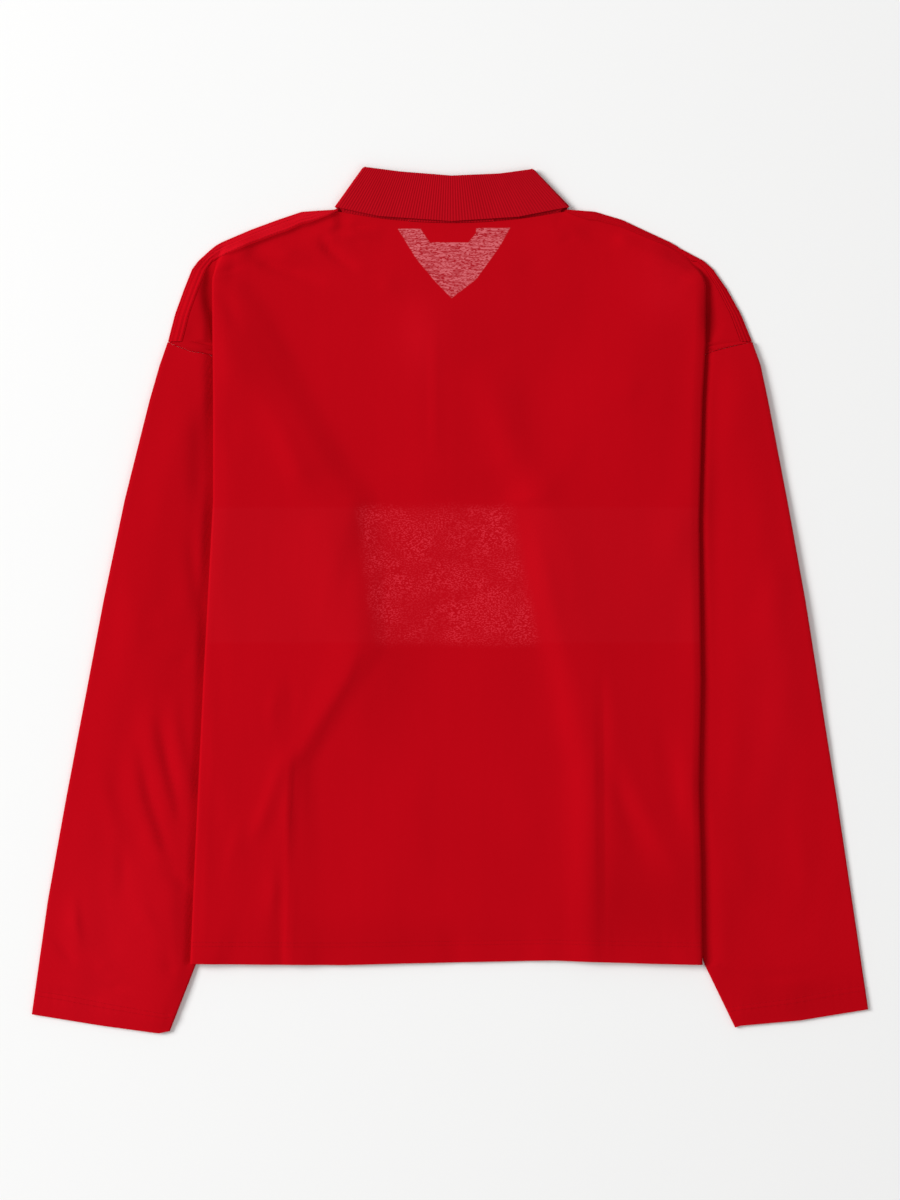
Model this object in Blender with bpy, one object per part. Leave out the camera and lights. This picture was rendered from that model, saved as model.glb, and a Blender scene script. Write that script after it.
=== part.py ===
# A long-sleeve polo shirt in red jersey, laid face down on a flat surface with its back showing.
# Both sides of the body are folded under along a pleat that starts at each shoulder, so the sleeves
# come out from beneath the body. Every table is in millimetres: q is the distance from the centre
# line, to either side, y runs up the shirt and z away from the surface it lies on.

import math

import bmesh
import bpy
import numpy as np
from mathutils import Vector

MM = 0.001

# Cloth
CLOTH = 1.0  # jersey wall
PITCH = 1.35  # from one pressed layer to the next
SEAM_GAP = 0.35  # between two pieces at a seam
FLOOR_PAIR = (CLOTH + PITCH) / 2  # height of the middle of two layers that lie on the surface
FOLD_OUT = PITCH + (PITCH + CLOTH) / 2  # from a fold's first point to its outermost face
RIB = 1.3  # flat-knit collar wall
RIB_PITCH = 1.65
ARC_STEPS = 3  # facets in a pressed fold

# Body
CENTRE_X = 1.4
CENTRE_Y = 1.4  # the outline's middle, where the origin is
ARMPIT = 92.0
BLEND = 165.0  # above this level the rows bend up to the neckline and the shoulders
TIP = 237.4  # level where the armhole seam reaches the outline
SEAM_ROW = 311.0  # the shoulder seam's level at the shoulder point
TOP_ROW = 324.0
ROWS = [-334, -314, -240, -147, -46, 30, ARMPIT, 124, BLEND, 195, 225.4, 231]
ROWS += [TIP, 255, 272, 283, 290, 296, 303, SEAM_ROW, TOP_ROW]
# how far the hem lies above its row: x, rise
HEM_RISE = [(-250.0, 0.0), (-101.0, -1.4), (-46.0, 0.0), (92.0, 2.8), (184.0, 0.0), (230.0, -0.9)]
NECK_Q = 104.4  # the neck point, where shoulder and neckline meet
INNER_COLUMNS = 5  # between the placket's edge and the neck point
OUTER_COLUMNS = 5  # from there out to the fold
PLEAT_START = 3.0  # shortest length that a pleat's bend takes up before it closes
STEP_WIDTH = 20.0  # how far the cloth takes to come down from a stack of layers
STEP_MARGIN = 28.0  # how far it stays up beyond the sleeve beneath

# Placket and buttons
PLACKET_HALF = 16.5
PLACKET_BOTTOM = 124.0
PLACKET_TOP = 269.0
PLACKET_LIFT = 2.1
BUTTON_RADIUS = 5.75
BUTTON_HEIGHT = 1.8
BUTTON_LEVELS = {"button_top": 257.0, "button_middle": 204.0, "button_lower": 151.0}

# Collar: where the strip lies. The stand rises from the neckline to the fold, the fall comes back over it.
COLLAR_MIDDLE = 3.125  # height of the middle of its four layers
LEAF_LIFT = 1.65
NECK_LIFT = 2.1
BACK_NECK = {"centre": 346.3, "side": 357.0}
FRONT_NECK = [(PLACKET_HALF, 270.5), (35.0, 281.0), (55.0, 297.0), (75.0, 318.0), (90.0, 338.0),
              (NECK_Q, 359.0)]
CF_STAND_Y = PLACKET_TOP + SEAM_GAP
TAPE = {"half": 38.0, "bottom": 339.5, "top": 351.0, "z": 2.5}
LABEL = {"top_half": 24.5, "bottom_half": 17.5, "top": 345.0, "bottom": 328.4, "z": 1.2}

# One table of (q, y) for each edge. The left column of a pair is q, the right y.
SIDES = {
    "left": {
        "sign": -1,
        "outline": [(NECK_Q, 359.0), (137.6, 357.0), (159.6, 349.6), (184.5, 340.4), (210.2, 329.4),
                    (220.4, 323.8), (233.2, 311.0), (238.8, 303.6), (246.1, 285.2), (254.4, 262.2),
                    (260.8, TIP)],
        "armhole": [(260.8, TIP), (250.7, 232.8), (238.8, 228.2), (220.4, 225.4), (104.0, ARMPIT)],
        "body_edge": [(240.0, -334), (235.0, -221), (228.0, -74), (224.0, 0), (219.0, 92),
                      (219.0, 184), (220.0, 290)],
        "flap_end": [(151.6, -334), (142.0, -147), (90.0, -46), (98.0, ARMPIT)],
        "sleeve_outer": [(260.8, TIP), (268.2, 216.2), (277.4, 184.0), (300.4, 92.0), (319.7, 0.0),
                         (354.7, -184.0), (371.2, -276.0), (386.0, -380.9)],
        "sleeve_inner": [(104.0, ARMPIT), (234.6, -334.0), (259.0, -396.5)],
        "cuff": [(386.0, -380.9), (323.4, -391.0), (268.2, -398.4), (259.0, -396.5)],
        # how the pleat opens below the shoulder: level, turn of its bends in degrees, q of the upper bend
        "pleat": [(TOP_ROW, 0, 204.0), (SEAM_ROW, 35, 209.0), (303, 90, 214.0), (296, 135, 217.0),
                  (290, 180, 217.5)],
        "strip": [(NECK_Q, 2.0), (130.0, 10.0), (150.0, 12.5), (260.0, 12.5)],
        "collar_fold": [(0.0, 390.0), (47.4, 393.8), (82.4, 398.4)],
        "collar_edge": [(0.0, 347.8), (66.7, 352.4), (107.5, 361.2)],
        "leaf_tip": (40.0, 228.0),
    },
    "right": {
        "sign": 1,
        "outline": [(NECK_Q, 359.0), (132.0, 357.0), (156.8, 349.6), (176.2, 340.4), (200.1, 329.4),
                    (210.2, 323.8), (232.3, 311.0), (240.6, 303.6), (253.4, 285.2), (266.3, 262.2),
                    (276.4, TIP)],
        "armhole": [(276.4, TIP), (264.5, 235.0), (241.5, 229.0), (232.0, 226.4), (105.6, ARMPIT)],
        "body_edge": [(230.6, -334), (229.6, -240), (227.6, -170), (229.6, -74), (227.6, 74),
                      (230.6, 184), (233.6, 237), (233.6, 290)],
        "flap_end": [(140.0, -334), (138.0, -92), (115.0, 0), (99.6, ARMPIT)],
        "sleeve_outer": [(276.4, TIP), (284.0, 216.2), (290.8, 184.0), (308.6, 92.0), (325.2, 0.0),
                         (354.6, -184.0), (368.4, -276.0), (383.2, -376.3)],
        "sleeve_inner": [(105.6, ARMPIT), (232.6, -335.0), (260.6, -392.8)],
        "cuff": [(383.2, -376.3), (320.6, -386.4), (264.0, -391.5), (260.6, -392.8)],
        "pleat": [(TOP_ROW, 0, 196.0), (SEAM_ROW, 0, 214.0), (303, 45, 224.0), (296, 105, 229.0),
                  (290, 180, 231.0)],
        "strip": [(NECK_Q, 2.0), (125.0, 8.0), (200.0, 5.0), (235.0, 6.0), (276.0, 10.0)],
        "collar_fold": [(0.0, 390.0), (44.6, 392.0), (76.8, 396.5)],
        "collar_edge": [(0.0, 347.8), (61.2, 351.8), (108.8, 361.2)],
        "leaf_tip": (40.0, 228.0),
    },
}
APEX = (1.5, 277.5)  # the fold line's lower end at the centre front
SLEEVE_STATIONS = [0.0, 0.035, 0.1, 0.25, 0.42, 0.6, 0.78, 0.93, 1.0]
COLLAR_FRONT_STATIONS = [0.0, 0.19, 0.4, 0.6, 0.8, 0.94, 1.0]
COLLAR_TURN_STEPS = 4

COLOURS = {
    "jersey": (0.474, 0.0024, 0.0075),
    "rib_knit": (0.413, 0.004, 0.0103),
    "button": (0.33, 0.004, 0.01),
    "tape": (0.38, 0.004, 0.009),
    "label": (0.32, 0.003, 0.008),
}


def clear_scene():
    for obj in list(bpy.data.objects):
        bpy.data.objects.remove(obj, do_unlink=True)


def material(name):
    made = bpy.data.materials.new(name)
    made.use_nodes = True
    shader = made.node_tree.nodes["Principled BSDF"]
    shader.inputs["Base Color"].default_value = (*COLOURS[name], 1.0)
    shader.inputs["Roughness"].default_value = 0.85
    shader.inputs["Metallic"].default_value = 0.0
    return made


# Reading the tables


def q_at(table, y):
    """q of an edge at height y."""
    rows = sorted(table, key=lambda row: row[1])
    return float(np.interp(y, [row[1] for row in rows], [row[0] for row in rows]))


def y_at(table, q):
    """y of an edge at distance q."""
    rows = sorted(table)
    return float(np.interp(q, [row[0] for row in rows], [row[1] for row in rows]))


def along(points, share):
    """The point at this share of a polyline's length."""
    ends = np.array(points, float)
    steps = np.r_[0, np.cumsum(np.linalg.norm(np.diff(ends, axis=0), axis=1))]
    where = share * steps[-1]
    return np.array([np.interp(where, steps, ends[:, 0]), np.interp(where, steps, ends[:, 1])])


def ease(t):
    t = min(max(t, 0.0), 1.0)
    return t * t * (3 - 2 * t)


def plateau(q, y, corners, margin, width):
    """1 over a convex outline and a margin round it, falling to 0 over width beyond that."""
    middle = np.mean(corners, axis=0)
    outside = -1e9
    for a, b in zip(corners, corners[1:] + corners[:1]):
        edge = np.subtract(b, a)
        normal = np.array([edge[1], -edge[0]]) / np.linalg.norm(edge)
        if np.dot(normal, np.subtract(middle, a)) > 0:
            normal = -normal
        outside = max(outside, float(np.dot(normal, np.subtract((q, y), a))))
    return 1.0 - ease((outside - margin) / width)


def leaf_corners(side):
    return [side["collar_fold"][-1], side["collar_edge"][-1], side["leaf_tip"], APEX]


def placket_zone(q, y):
    corners = [(-PLACKET_HALF, PLACKET_BOTTOM), (PLACKET_HALF, PLACKET_BOTTOM),
               (PLACKET_HALF, PLACKET_TOP + 12.0), (-PLACKET_HALF, PLACKET_TOP + 12.0)]
    return plateau(q, y, corners, 2.0, 13.0)


def front_lift(side, q, y):
    """How far the front is held up by the collar's front leaf and by the buttoned placket."""
    leaf = LEAF_LIFT * plateau(q, y, leaf_corners(side), 14.0, 16.0)
    return max(leaf, PLACKET_LIFT * placket_zone(q, y))


def back_lift(side, q, y):
    """How far the back is held up by the collar's layers and by the placket."""
    leaf = plateau(q, y, leaf_corners(side), 14.0, 16.0)
    band = plateau(q, y, [(-NECK_Q, 336), (NECK_Q, 336), (NECK_Q, 380), (-NECK_Q, 380)], 4.0, 26.0)
    over_placket = front_lift(side, q, y) + PITCH * placket_zone(q, y)
    return max(over_placket, NECK_LIFT * max(leaf, band))


# The body's rows. Each row is one path through the pair of layers, front and back lying together:
# out from the centre, round the fold, back in under itself and, above the armpit, out again.


def pleat_at(side, level):
    levels = [row[0] for row in side["pleat"]][::-1]
    turn = np.interp(level, levels, [row[1] for row in side["pleat"]][::-1])
    if level < levels[0]:
        return math.pi, q_at(side["body_edge"], level) - FOLD_OUT
    return math.radians(turn), float(np.interp(level, levels, [row[2] for row in side["pleat"]][::-1]))


def hidden_fold(side, level):
    """q of the pleat's inner fold, from the shoulder down to the armpit."""
    share = min(max((level - ARMPIT) / (290.0 - ARMPIT), 0.0), 1.0)
    top = side["pleat"][-1][2]
    return side["flap_end"][-1][0] + (top - side["flap_end"][-1][0]) * share


def bend_chord(turn):
    return max(2 * PITCH * math.sin(turn / ARC_STEPS / 2), PLEAT_START / ARC_STEPS)


def pleat_drop(side, level):
    """How far the path comes down through the pleat."""
    turn, _ = pleat_at(side, level)
    if turn > 3.14:
        return 4 * PITCH
    middles = [turn * (k + 0.5) / ARC_STEPS for k in range(ARC_STEPS)]
    return 2 * bend_chord(turn) * sum(math.sin(m) for m in middles) + PITCH * math.sin(turn)


def sleeve_rise(side, q, level):
    """How far the flap is held up by the sleeve that lies beneath it."""
    under = q_at(side["sleeve_inner"], level)
    return 2 * PITCH * ease((q - under + STEP_MARGIN + STEP_WIDTH) / STEP_WIDTH)


def top_height(side, q, level):
    """Height of the pair in the span that shows."""
    if level >= ARMPIT:
        fold = hidden_fold(side, level)
        drop = pleat_drop(side, level)
        return FLOOR_PAIR + drop * ease((q - fold + STEP_MARGIN + STEP_WIDTH) / STEP_WIDTH)
    flap = q_at(side["flap_end"], level)
    on_flap = 2 * PITCH * ease((q - flap + STEP_WIDTH) / STEP_WIDTH)
    return FLOOR_PAIR + on_flap + sleeve_rise(side, q, level)


def heading_of(height, q):
    """The path's downward angle where its height is this function of q."""
    return -math.atan((height(q + 2.0) - height(q - 2.0)) / 4.0)


def body_path(side, level):
    """Rows of (q, z, heading) from the centre outwards, one for each column."""
    turn, fold_q = pleat_at(side, level)
    if level <= ARMPIT:
        anchor = q_at(side["flap_end"], level)
    else:
        share = (level - ARMPIT) / (TOP_ROW - ARMPIT)
        anchor = side["flap_end"][-1][0] * (1 - share) + NECK_Q * share
    columns = [0.0, *np.linspace(PLACKET_HALF, anchor, INNER_COLUMNS + 1)]
    columns += [*np.linspace(anchor, fold_q, OUTER_COLUMNS + 1)[1:]]

    def height(q):
        return top_height(side, q, level)

    path = [(q, height(q), heading_of(height, q)) for q in columns[:-1]]
    path.append((fold_q, height(fold_q), 0.0))

    def advance(heading, length):
        q, z, _ = path[-1]
        return q + length * math.cos(heading), z - length * math.sin(heading)

    for k in range(ARC_STEPS):
        path.append((*advance(turn * (k + 0.5) / ARC_STEPS, bend_chord(turn)), turn * (k + 1) / ARC_STEPS))
    if level < ARMPIT:
        top_z = path[-1][1]
        start = sleeve_rise(side, fold_q, level)
        for k in range(1, OUTER_COLUMNS + 1):
            q = fold_q + (anchor - fold_q) * k / OUTER_COLUMNS
            tilt = math.atan((sleeve_rise(side, q + 2.0, level) - sleeve_rise(side, q - 2.0, level)) / 4.0)
            path.append((q, top_z - start + sleeve_rise(side, q, level), math.pi - tilt))
        return path
    length = PITCH
    if turn > 3.14:
        length = max(PITCH, fold_q - hidden_fold(side, level))
    for _ in range(OUTER_COLUMNS):
        path.append((*advance(turn, length / OUTER_COLUMNS), turn))
    for k in range(ARC_STEPS):
        rest = turn * (ARC_STEPS - k - 0.5) / ARC_STEPS
        path.append((*advance(rest, bend_chord(turn)), turn * (ARC_STEPS - k - 1) / ARC_STEPS))
    start_q, start_z, _ = path[-1]
    if level == TOP_ROW:
        end_q = q_at(side["outline"], TOP_ROW)
        near_q = (start_q + end_q) / 2
    elif level >= TIP:
        end_q = q_at(side["outline"], level)
        near_q = end_q - y_at(side["strip"], end_q) * 1.1
    else:
        end_q = max(q_at(side["armhole"], level), start_q + 6.0)
        near_q = start_q + (end_q - start_q) * 0.66
    for q in ((start_q + near_q) / 2, near_q, end_q):
        path.append((q, start_z, 0.0))
    return path


NECK_COLUMN = 1 + INNER_COLUMNS
FOLD_COLUMN = NECK_COLUMN + OUTER_COLUMNS
FLAP_COLUMN = FOLD_COLUMN + ARC_STEPS + OUTER_COLUMNS
LAST_COLUMN = FLAP_COLUMN + ARC_STEPS + 3
ARMPIT_ROW = ROWS.index(ARMPIT)
TIP_ROW = ROWS.index(TIP)
TOP = len(ROWS) - 1


def neckline(panel, q):
    share = q / NECK_Q
    if panel == "back":
        return BACK_NECK["centre"] + (BACK_NECK["side"] - BACK_NECK["centre"]) * share**2
    return y_at(FRONT_NECK, q)


def seam_line(panel, side, q):
    """y of the last row but one: the shoulder seam and, inside the neck point, the neckline."""
    if q < NECK_Q - 1.0:
        return neckline(panel, q) - (0.0 if panel == "back" else 8.0)
    return max(y_at(side["outline"], q) - y_at(side["strip"], q) * 1.08, SEAM_ROW)


def row_height(panel, side, row, q):
    level = ROWS[row]
    if row == 0:
        rise = np.array(HEM_RISE)
        return level + float(np.interp(side["sign"] * q, rise[:, 0], rise[:, 1]))
    if level <= BLEND:
        return level
    if level == TOP_ROW:
        return neckline(panel, q) if q < NECK_Q - 1.0 else y_at(side["outline"], q)
    share = (level - BLEND) / (SEAM_ROW - BLEND)
    return BLEND + share * (seam_line(panel, side, q) - BLEND)


def place(side, q, y, z):
    return Vector((CENTRE_X + side["sign"] * q, y, z))


def panel_points(panel):
    """The middle surface of one body panel: for each (row, side, column), its point and its normal."""
    offset = PITCH / 2 if panel == "back" else -PITCH / 2
    lift = back_lift if panel == "back" else front_lift
    points = {}
    for name, side in SIDES.items():
        for row, level in enumerate(ROWS):
            for column, (q, z, heading) in enumerate(body_path(side, level)):
                if panel == "back" and (row == TOP or (column == LAST_COLUMN and row > TIP_ROW)):
                    continue
                y = row_height(panel, side, row, q)
                out, up = math.sin(heading), math.cos(heading)
                q_mid = q + offset * out
                z_mid = z + offset * up + lift(side, q, y)
                key = (row, name, column) if column else (row, "centre", 0)
                points[key] = (place(side, q_mid, y, z_mid), Vector((side["sign"] * out, 0, up)))
    return points


def panel_faces(points, holds):
    """Cells between rows and columns whose four corners exist and that the panel holds."""
    faces = []
    for name in SIDES:
        for row in range(TOP):
            for column in range(LAST_COLUMN):
                keys = [(row, name, column), (row, name, column + 1), (row + 1, name, column + 1),
                        (row + 1, name, column)]
                keys = [key if key[2] else (key[0], "centre", 0) for key in keys]
                if FOLD_COLUMN + ARC_STEPS <= column < FLAP_COLUMN:
                    keys = keys[1:] + keys[:1]  # split the same way as the layer above, so they stay parallel
                below_armpit = row < ARMPIT_ROW and column >= FLAP_COLUMN
                if all(key in points for key in keys) and not below_armpit and holds(row, column):
                    faces.append(keys)
    return faces


# Turning a middle surface into a closed wall


def wall(name, points, faces, thickness, finish):
    """A closed solid: the surface moved out and in by half the thickness, joined round its edges."""
    keys = sorted({key for face in faces for key in face}, key=repr)
    mesh = bmesh.new()
    outer = {}
    inner = {}
    for key in keys:
        point, normal = points[key]
        seat = point - Vector((0, CENTRE_Y, 0))
        outer[key] = mesh.verts.new((seat + normal * thickness / 2) * MM)
        inner[key] = mesh.verts.new((seat - normal * thickness / 2) * MM)
    used = {}
    for face in faces:
        ring = [key for k, key in enumerate(face) if key != face[k - 1]]
        for k in range(1, len(ring) - 1):
            corners = (ring[0], ring[k], ring[k + 1])
            mesh.faces.new([outer[key] for key in corners])
            mesh.faces.new([inner[key] for key in reversed(corners)])
        for a, b in zip(ring, ring[1:] + ring[:1]):
            used.setdefault(frozenset((a, b)), []).append((a, b))
    for ends in used.values():
        if len(ends) > 1:
            continue
        a, b = ends[0]
        mesh.faces.new((outer[b], outer[a], inner[a]))
        mesh.faces.new((outer[b], inner[a], inner[b]))
    bmesh.ops.recalc_face_normals(mesh, faces=mesh.faces)
    data = bpy.data.meshes.new(name)
    mesh.to_mesh(data)
    mesh.free()
    obj = bpy.data.objects.new(name, data)
    bpy.context.scene.collection.objects.link(obj)
    data.materials.append(finish)
    data.shade_smooth()
    data.set_sharp_from_angle(angle=math.radians(35))
    return obj


def back_panel(finish):
    points = panel_points("back")
    for name, side in SIDES.items():
        tip, normal = points[(TIP_ROW, name, LAST_COLUMN)]
        points[(TIP_ROW, name, LAST_COLUMN)] = (tip - Vector((side["sign"] * 2.5, 0.8, 0)), normal)
    faces = panel_faces(points, lambda row, column: row < TOP - 1 or column < LAST_COLUMN - 1)
    return wall("back_panel", points, faces, CLOTH, finish)


def shoulder_chain(name, points):
    """Keys along the front's outline, from the armhole up to the neck point."""
    chain = [(row, name, LAST_COLUMN) for row in range(TIP_ROW, TOP + 1)]
    return chain + [(TOP, name, column) for column in range(LAST_COLUMN - 1, NECK_COLUMN - 1, -1)]


def front_panel(finish):
    """The front, with its window for the placket and the strip that rolls over the shoulder line."""
    points = panel_points("front")
    back = panel_points("back")

    def holds(row, column):
        return column > 0 or row < ROWS.index(PLACKET_BOTTOM)

    faces = panel_faces(points, holds)
    for name, side in SIDES.items():
        chain = shoulder_chain(name, points)
        plan = [points[key][0].copy() for key in chain]
        lines = []
        for k, key in enumerate(chain):
            tangent = plan[min(k + 1, len(chain) - 1)] - plan[max(k - 1, 0)]
            out = Vector((tangent.y, -tangent.x, 0)) * side["sign"]
            out.normalize()
            low = plan[k].z
            q = (plan[k].x - CENTRE_X) * side["sign"]
            high = FLOOR_PAIR + PITCH / 2 + back_lift(side, q, plan[k].y)
            radius = (high - low) / 2
            root = plan[k] - out * (radius + CLOTH / 2)
            points[key] = (root, points[key][1])
            for j in range(1, ARC_STEPS + 1):
                angle = math.pi * j / ARC_STEPS
                rise = Vector((0, 0, radius * (1 - math.cos(angle))))
                normal = Vector((0, 0, math.cos(angle))) - out * math.sin(angle)
                points[("wrap", name, k, j)] = (root + out * radius * math.sin(angle) + rise, normal)
            seam_key = (min(key[0], TOP - 1), name, min(key[2], LAST_COLUMN - 1))
            end = back[seam_key][0] + out * SEAM_GAP
            points[("strip", *seam_key)] = (end, -back[seam_key][1])
            turned = [("wrap", name, k, j) for j in range(1, ARC_STEPS + 1)]
            lines.append([key, *turned, ("strip", *seam_key)])
        for before, line in zip(lines, lines[1:]):
            faces += [[a, b, d, c] for a, b, c, d in zip(before, before[1:], line, line[1:])]
    return wall("front_panel", points, faces, CLOTH, finish)


def armhole_points(side):
    """Seam points that the sleeve shares with the panels' rows, from the outline to the armpit."""
    found = []
    for level in reversed(ROWS[ARMPIT_ROW : TIP_ROW + 1]):
        q, _, _ = body_path(side, level)[LAST_COLUMN]
        found.append((q, level))
    return found


def sleeve(name, side, finish):
    """A pressed tube: its upper layer, the underarm fold, its lower layer and the fold along its top."""
    seam = armhole_points(side)
    lengths = np.r_[0, np.cumsum([math.dist(a, b) for a, b in zip(seam, seam[1:])])]
    shares = lengths / lengths[-1]
    radius = PITCH / 2
    inset = radius + CLOTH / 2
    axis = np.subtract(along(side["cuff"], 0.5), np.mean(seam, axis=0))
    axis /= np.linalg.norm(axis)
    points = {}
    for row, station in enumerate(SLEEVE_STATIONS):
        outer_y = seam[0][1] + (side["cuff"][0][1] - seam[0][1]) * station
        inner_y = seam[-1][1] + (side["cuff"][-1][1] - seam[-1][1]) * station
        outer = np.array([q_at(side["sleeve_outer"], outer_y), outer_y])
        inner = np.array([q_at(side["sleeve_inner"], inner_y), inner_y])
        line = []
        for share, start in zip(shares, seam):
            free = np.array(start) * (1 - station) + along(side["cuff"], share) * station
            pull = outer - (np.array(seam[0]) * (1 - station) + np.array(side["cuff"][0]) * station)
            push = inner - (np.array(seam[-1]) * (1 - station) + np.array(side["cuff"][-1]) * station)
            line.append(free + pull * (1 - share) + push * share)
        if row == 0:
            line = [point + axis * 0.5 for point in line]
        across = (line[0] - line[-1]) / np.linalg.norm(line[0] - line[-1])
        line[0] = line[0] - across * inset
        line[-1] = line[-1] + across * inset
        ring = [(point, math.pi / 2) for point in line]
        ring += [(line[-1], math.pi / 2 + math.pi * j / ARC_STEPS) for j in range(1, ARC_STEPS)]
        ring += [(point, -math.pi / 2) for point in reversed(line)]
        ring += [(line[0], -math.pi / 2 + math.pi * j / ARC_STEPS) for j in range(1, ARC_STEPS)]
        for column, (point, angle) in enumerate(ring):
            away = across * math.cos(angle)
            normal = Vector((side["sign"] * away[0], away[1], math.sin(angle)))
            centre = place(side, point[0], point[1], FLOOR_PAIR)
            points[(row, column)] = (centre + normal * radius, normal)
    faces = []
    around = len(ring)
    for row in range(len(SLEEVE_STATIONS) - 1):
        for column in range(around):
            after = (column + 1) % around
            faces.append([(row, column), (row, after), (row + 1, after), (row + 1, column)])
    return wall(name, points, faces, CLOTH, finish)


# The collar


def collar_station(points, row, side, seam, fold, edge, turn):
    """One section of the strip: up the stand, over the fold, down the fall. The strip is turned over by
    this angle where it goes round the side of the neck."""
    stand_out, fall_out = RIB_PITCH / 2, RIB_PITCH * 1.5
    radius = (fall_out - stand_out) / 2
    seam, fold, edge = (place(side, *plan, COLLAR_MIDDLE) for plan in (seam, fold, edge))
    up = (fold - edge).normalized()
    sideways = Vector((-up.y, up.x, 0)) * -side["sign"]
    if sideways.x * side["sign"] < 0:
        sideways = -sideways
    lift = Vector((0, 0, math.cos(turn))) + sideways * math.sin(turn)
    section = [(seam.lerp(fold, k / 2) + lift * stand_out, -lift) for k in range(3)]
    centre = fold + lift * (stand_out + fall_out) / 2
    for j in range(1, ARC_STEPS):
        angle = math.pi * j / ARC_STEPS
        ray = up * math.sin(angle) - lift * math.cos(angle)
        section.append((centre + ray * radius, ray))
    section += [(fold.lerp(edge, k / 3) + lift * fall_out, lift) for k in range(4)]
    for column, pair in enumerate(section):
        points[(row, column)] = pair
    return len(section)


def collar(finish):
    inset = RIB_PITCH / 2 + RIB / 2
    plan = {}
    front = panel_points("front")
    for name, side in SIDES.items():
        stations = []
        edge_end = np.array(side["collar_edge"][-1]) - (2.6, 0.0)
        fold_end = np.array(side["collar_fold"][-1]) - (2.6, inset)
        corner = (NECK_Q - 2.0, 359.0 + SEAM_GAP + 0.4)
        back_columns = [q for q, _, _ in body_path(side, SEAM_ROW)[: NECK_COLUMN + 1]]
        for q in back_columns[:-1]:
            share = q / back_columns[-1]
            fold = (fold_end[0] * share, y_at(side["collar_fold"], fold_end[0] * share) - inset)
            edge = (edge_end[0] * share, y_at(side["collar_edge"], edge_end[0] * share))
            stations.append(((q, neckline("back", q) + SEAM_GAP), fold, edge, 0.0))
        for j in range(COLLAR_TURN_STEPS + 1):
            stations.append((corner, fold_end, edge_end, math.pi * j / COLLAR_TURN_STEPS))
        leaf = [edge_end, np.array(side["leaf_tip"])]
        for k, share in enumerate(COLLAR_FRONT_STATIONS[1:], 1):
            if k < NECK_COLUMN:
                point, _ = front[(TOP, name, NECK_COLUMN - k)]
                seam = ((point.x - CENTRE_X) * side["sign"] - 0.2, point.y + SEAM_GAP + 0.1)
            else:
                seam = (0.6, CF_STAND_Y)
            fold = fold_end + (np.array(APEX) + (0.0, -inset) - fold_end) * share
            fold = np.array([max(fold[0], 0.6), fold[1]])
            edge = leaf[0] + (leaf[1] - leaf[0]) * share
            stations.append((seam, fold, edge, math.pi))
        plan[name] = stations
    points = {}
    order = [("left", station) for station in reversed(plan["left"])]
    order += [("right", station) for station in plan["right"][1:]]
    for row, (name, (seam, fold, edge, turn)) in enumerate(order):
        columns = collar_station(points, row, SIDES[name], seam, fold, edge, turn)
    faces = []
    for row in range(len(order) - 1):
        for column in range(columns - 1):
            faces.append([(row, column), (row, column + 1), (row + 1, column + 1), (row + 1, column)])
    return wall("collar", points, faces, RIB, finish)


# Small pieces


def flat_piece(name, across, finish, z, thickness=CLOTH):
    """A plain strip from rows of (y, left x, right x)."""
    points = {}
    faces = []
    for row, (y, left, right) in enumerate(across):
        for column in range(3):
            x = CENTRE_X + left + (right - left) * column / 2
            points[(row, column)] = (Vector((x, y, z)), Vector((0, 0, 1)))
            if row and column:
                faces.append([(row - 1, column - 1), (row - 1, column), (row, column), (row, column - 1)])
    return wall(name, points, faces, thickness, finish)


def placket(name, z, finish):
    half = PLACKET_HALF - SEAM_GAP
    bottom = PLACKET_BOTTOM + SEAM_GAP
    rows = [(bottom + (PLACKET_TOP - bottom) * k / 3, -half, half) for k in range(4)]
    return flat_piece(name, rows, finish, z)


def neck_tape(finish):
    points = {}
    faces = []
    for column in range(7):
        q = TAPE["half"] * (column / 3 - 1)
        dip = (BACK_NECK["side"] - BACK_NECK["centre"]) * (q / NECK_Q) ** 2
        for row, y in enumerate((TAPE["bottom"], TAPE["top"])):
            points[(row, column)] = (Vector((CENTRE_X + q, y + dip, TAPE["z"])), Vector((0, 0, 1)))
        if column:
            faces.append([(0, column - 1), (0, column), (1, column), (1, column - 1)])
    return wall("neck_tape", points, faces, CLOTH, finish)


def neck_label(finish):
    rows = [
        (LABEL["bottom"], -LABEL["bottom_half"], LABEL["bottom_half"]),
        (LABEL["top"], -LABEL["top_half"], LABEL["top_half"]),
    ]
    return flat_piece("neck_label", rows, finish, LABEL["z"])


def button(name, y, finish):
    """A turned button with a dished face."""
    radius = BUTTON_RADIUS
    profile = [(0.0, BUTTON_HEIGHT), (radius * 0.9, BUTTON_HEIGHT), (radius, BUTTON_HEIGHT * 0.75),
               (radius, 0.3), (radius * 0.92, 0.0), (radius * 0.7, 0.0), (radius * 0.62, 0.35), (0.0, 0.35)]
    mesh = bmesh.new()
    ring = [mesh.verts.new((r * MM, 0, z * MM)) for r, z in profile]
    edges = [mesh.edges.new(pair) for pair in zip(ring, ring[1:])]
    bmesh.ops.spin(mesh, geom=ring + edges, cent=(0, 0, 0), axis=(0, 0, 1), angle=math.tau, steps=20)
    bmesh.ops.remove_doubles(mesh, verts=mesh.verts, dist=1e-6)
    bmesh.ops.recalc_face_normals(mesh, faces=mesh.faces)
    data = bpy.data.meshes.new(name)
    mesh.to_mesh(data)
    mesh.free()
    data.materials.append(finish)
    data.shade_smooth()
    data.set_sharp_from_angle(angle=math.radians(35))
    obj = bpy.data.objects.new(name, data)
    obj.location = (CENTRE_X * MM, (y - CENTRE_Y) * MM, 0)
    bpy.context.scene.collection.objects.link(obj)
    return obj


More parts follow.
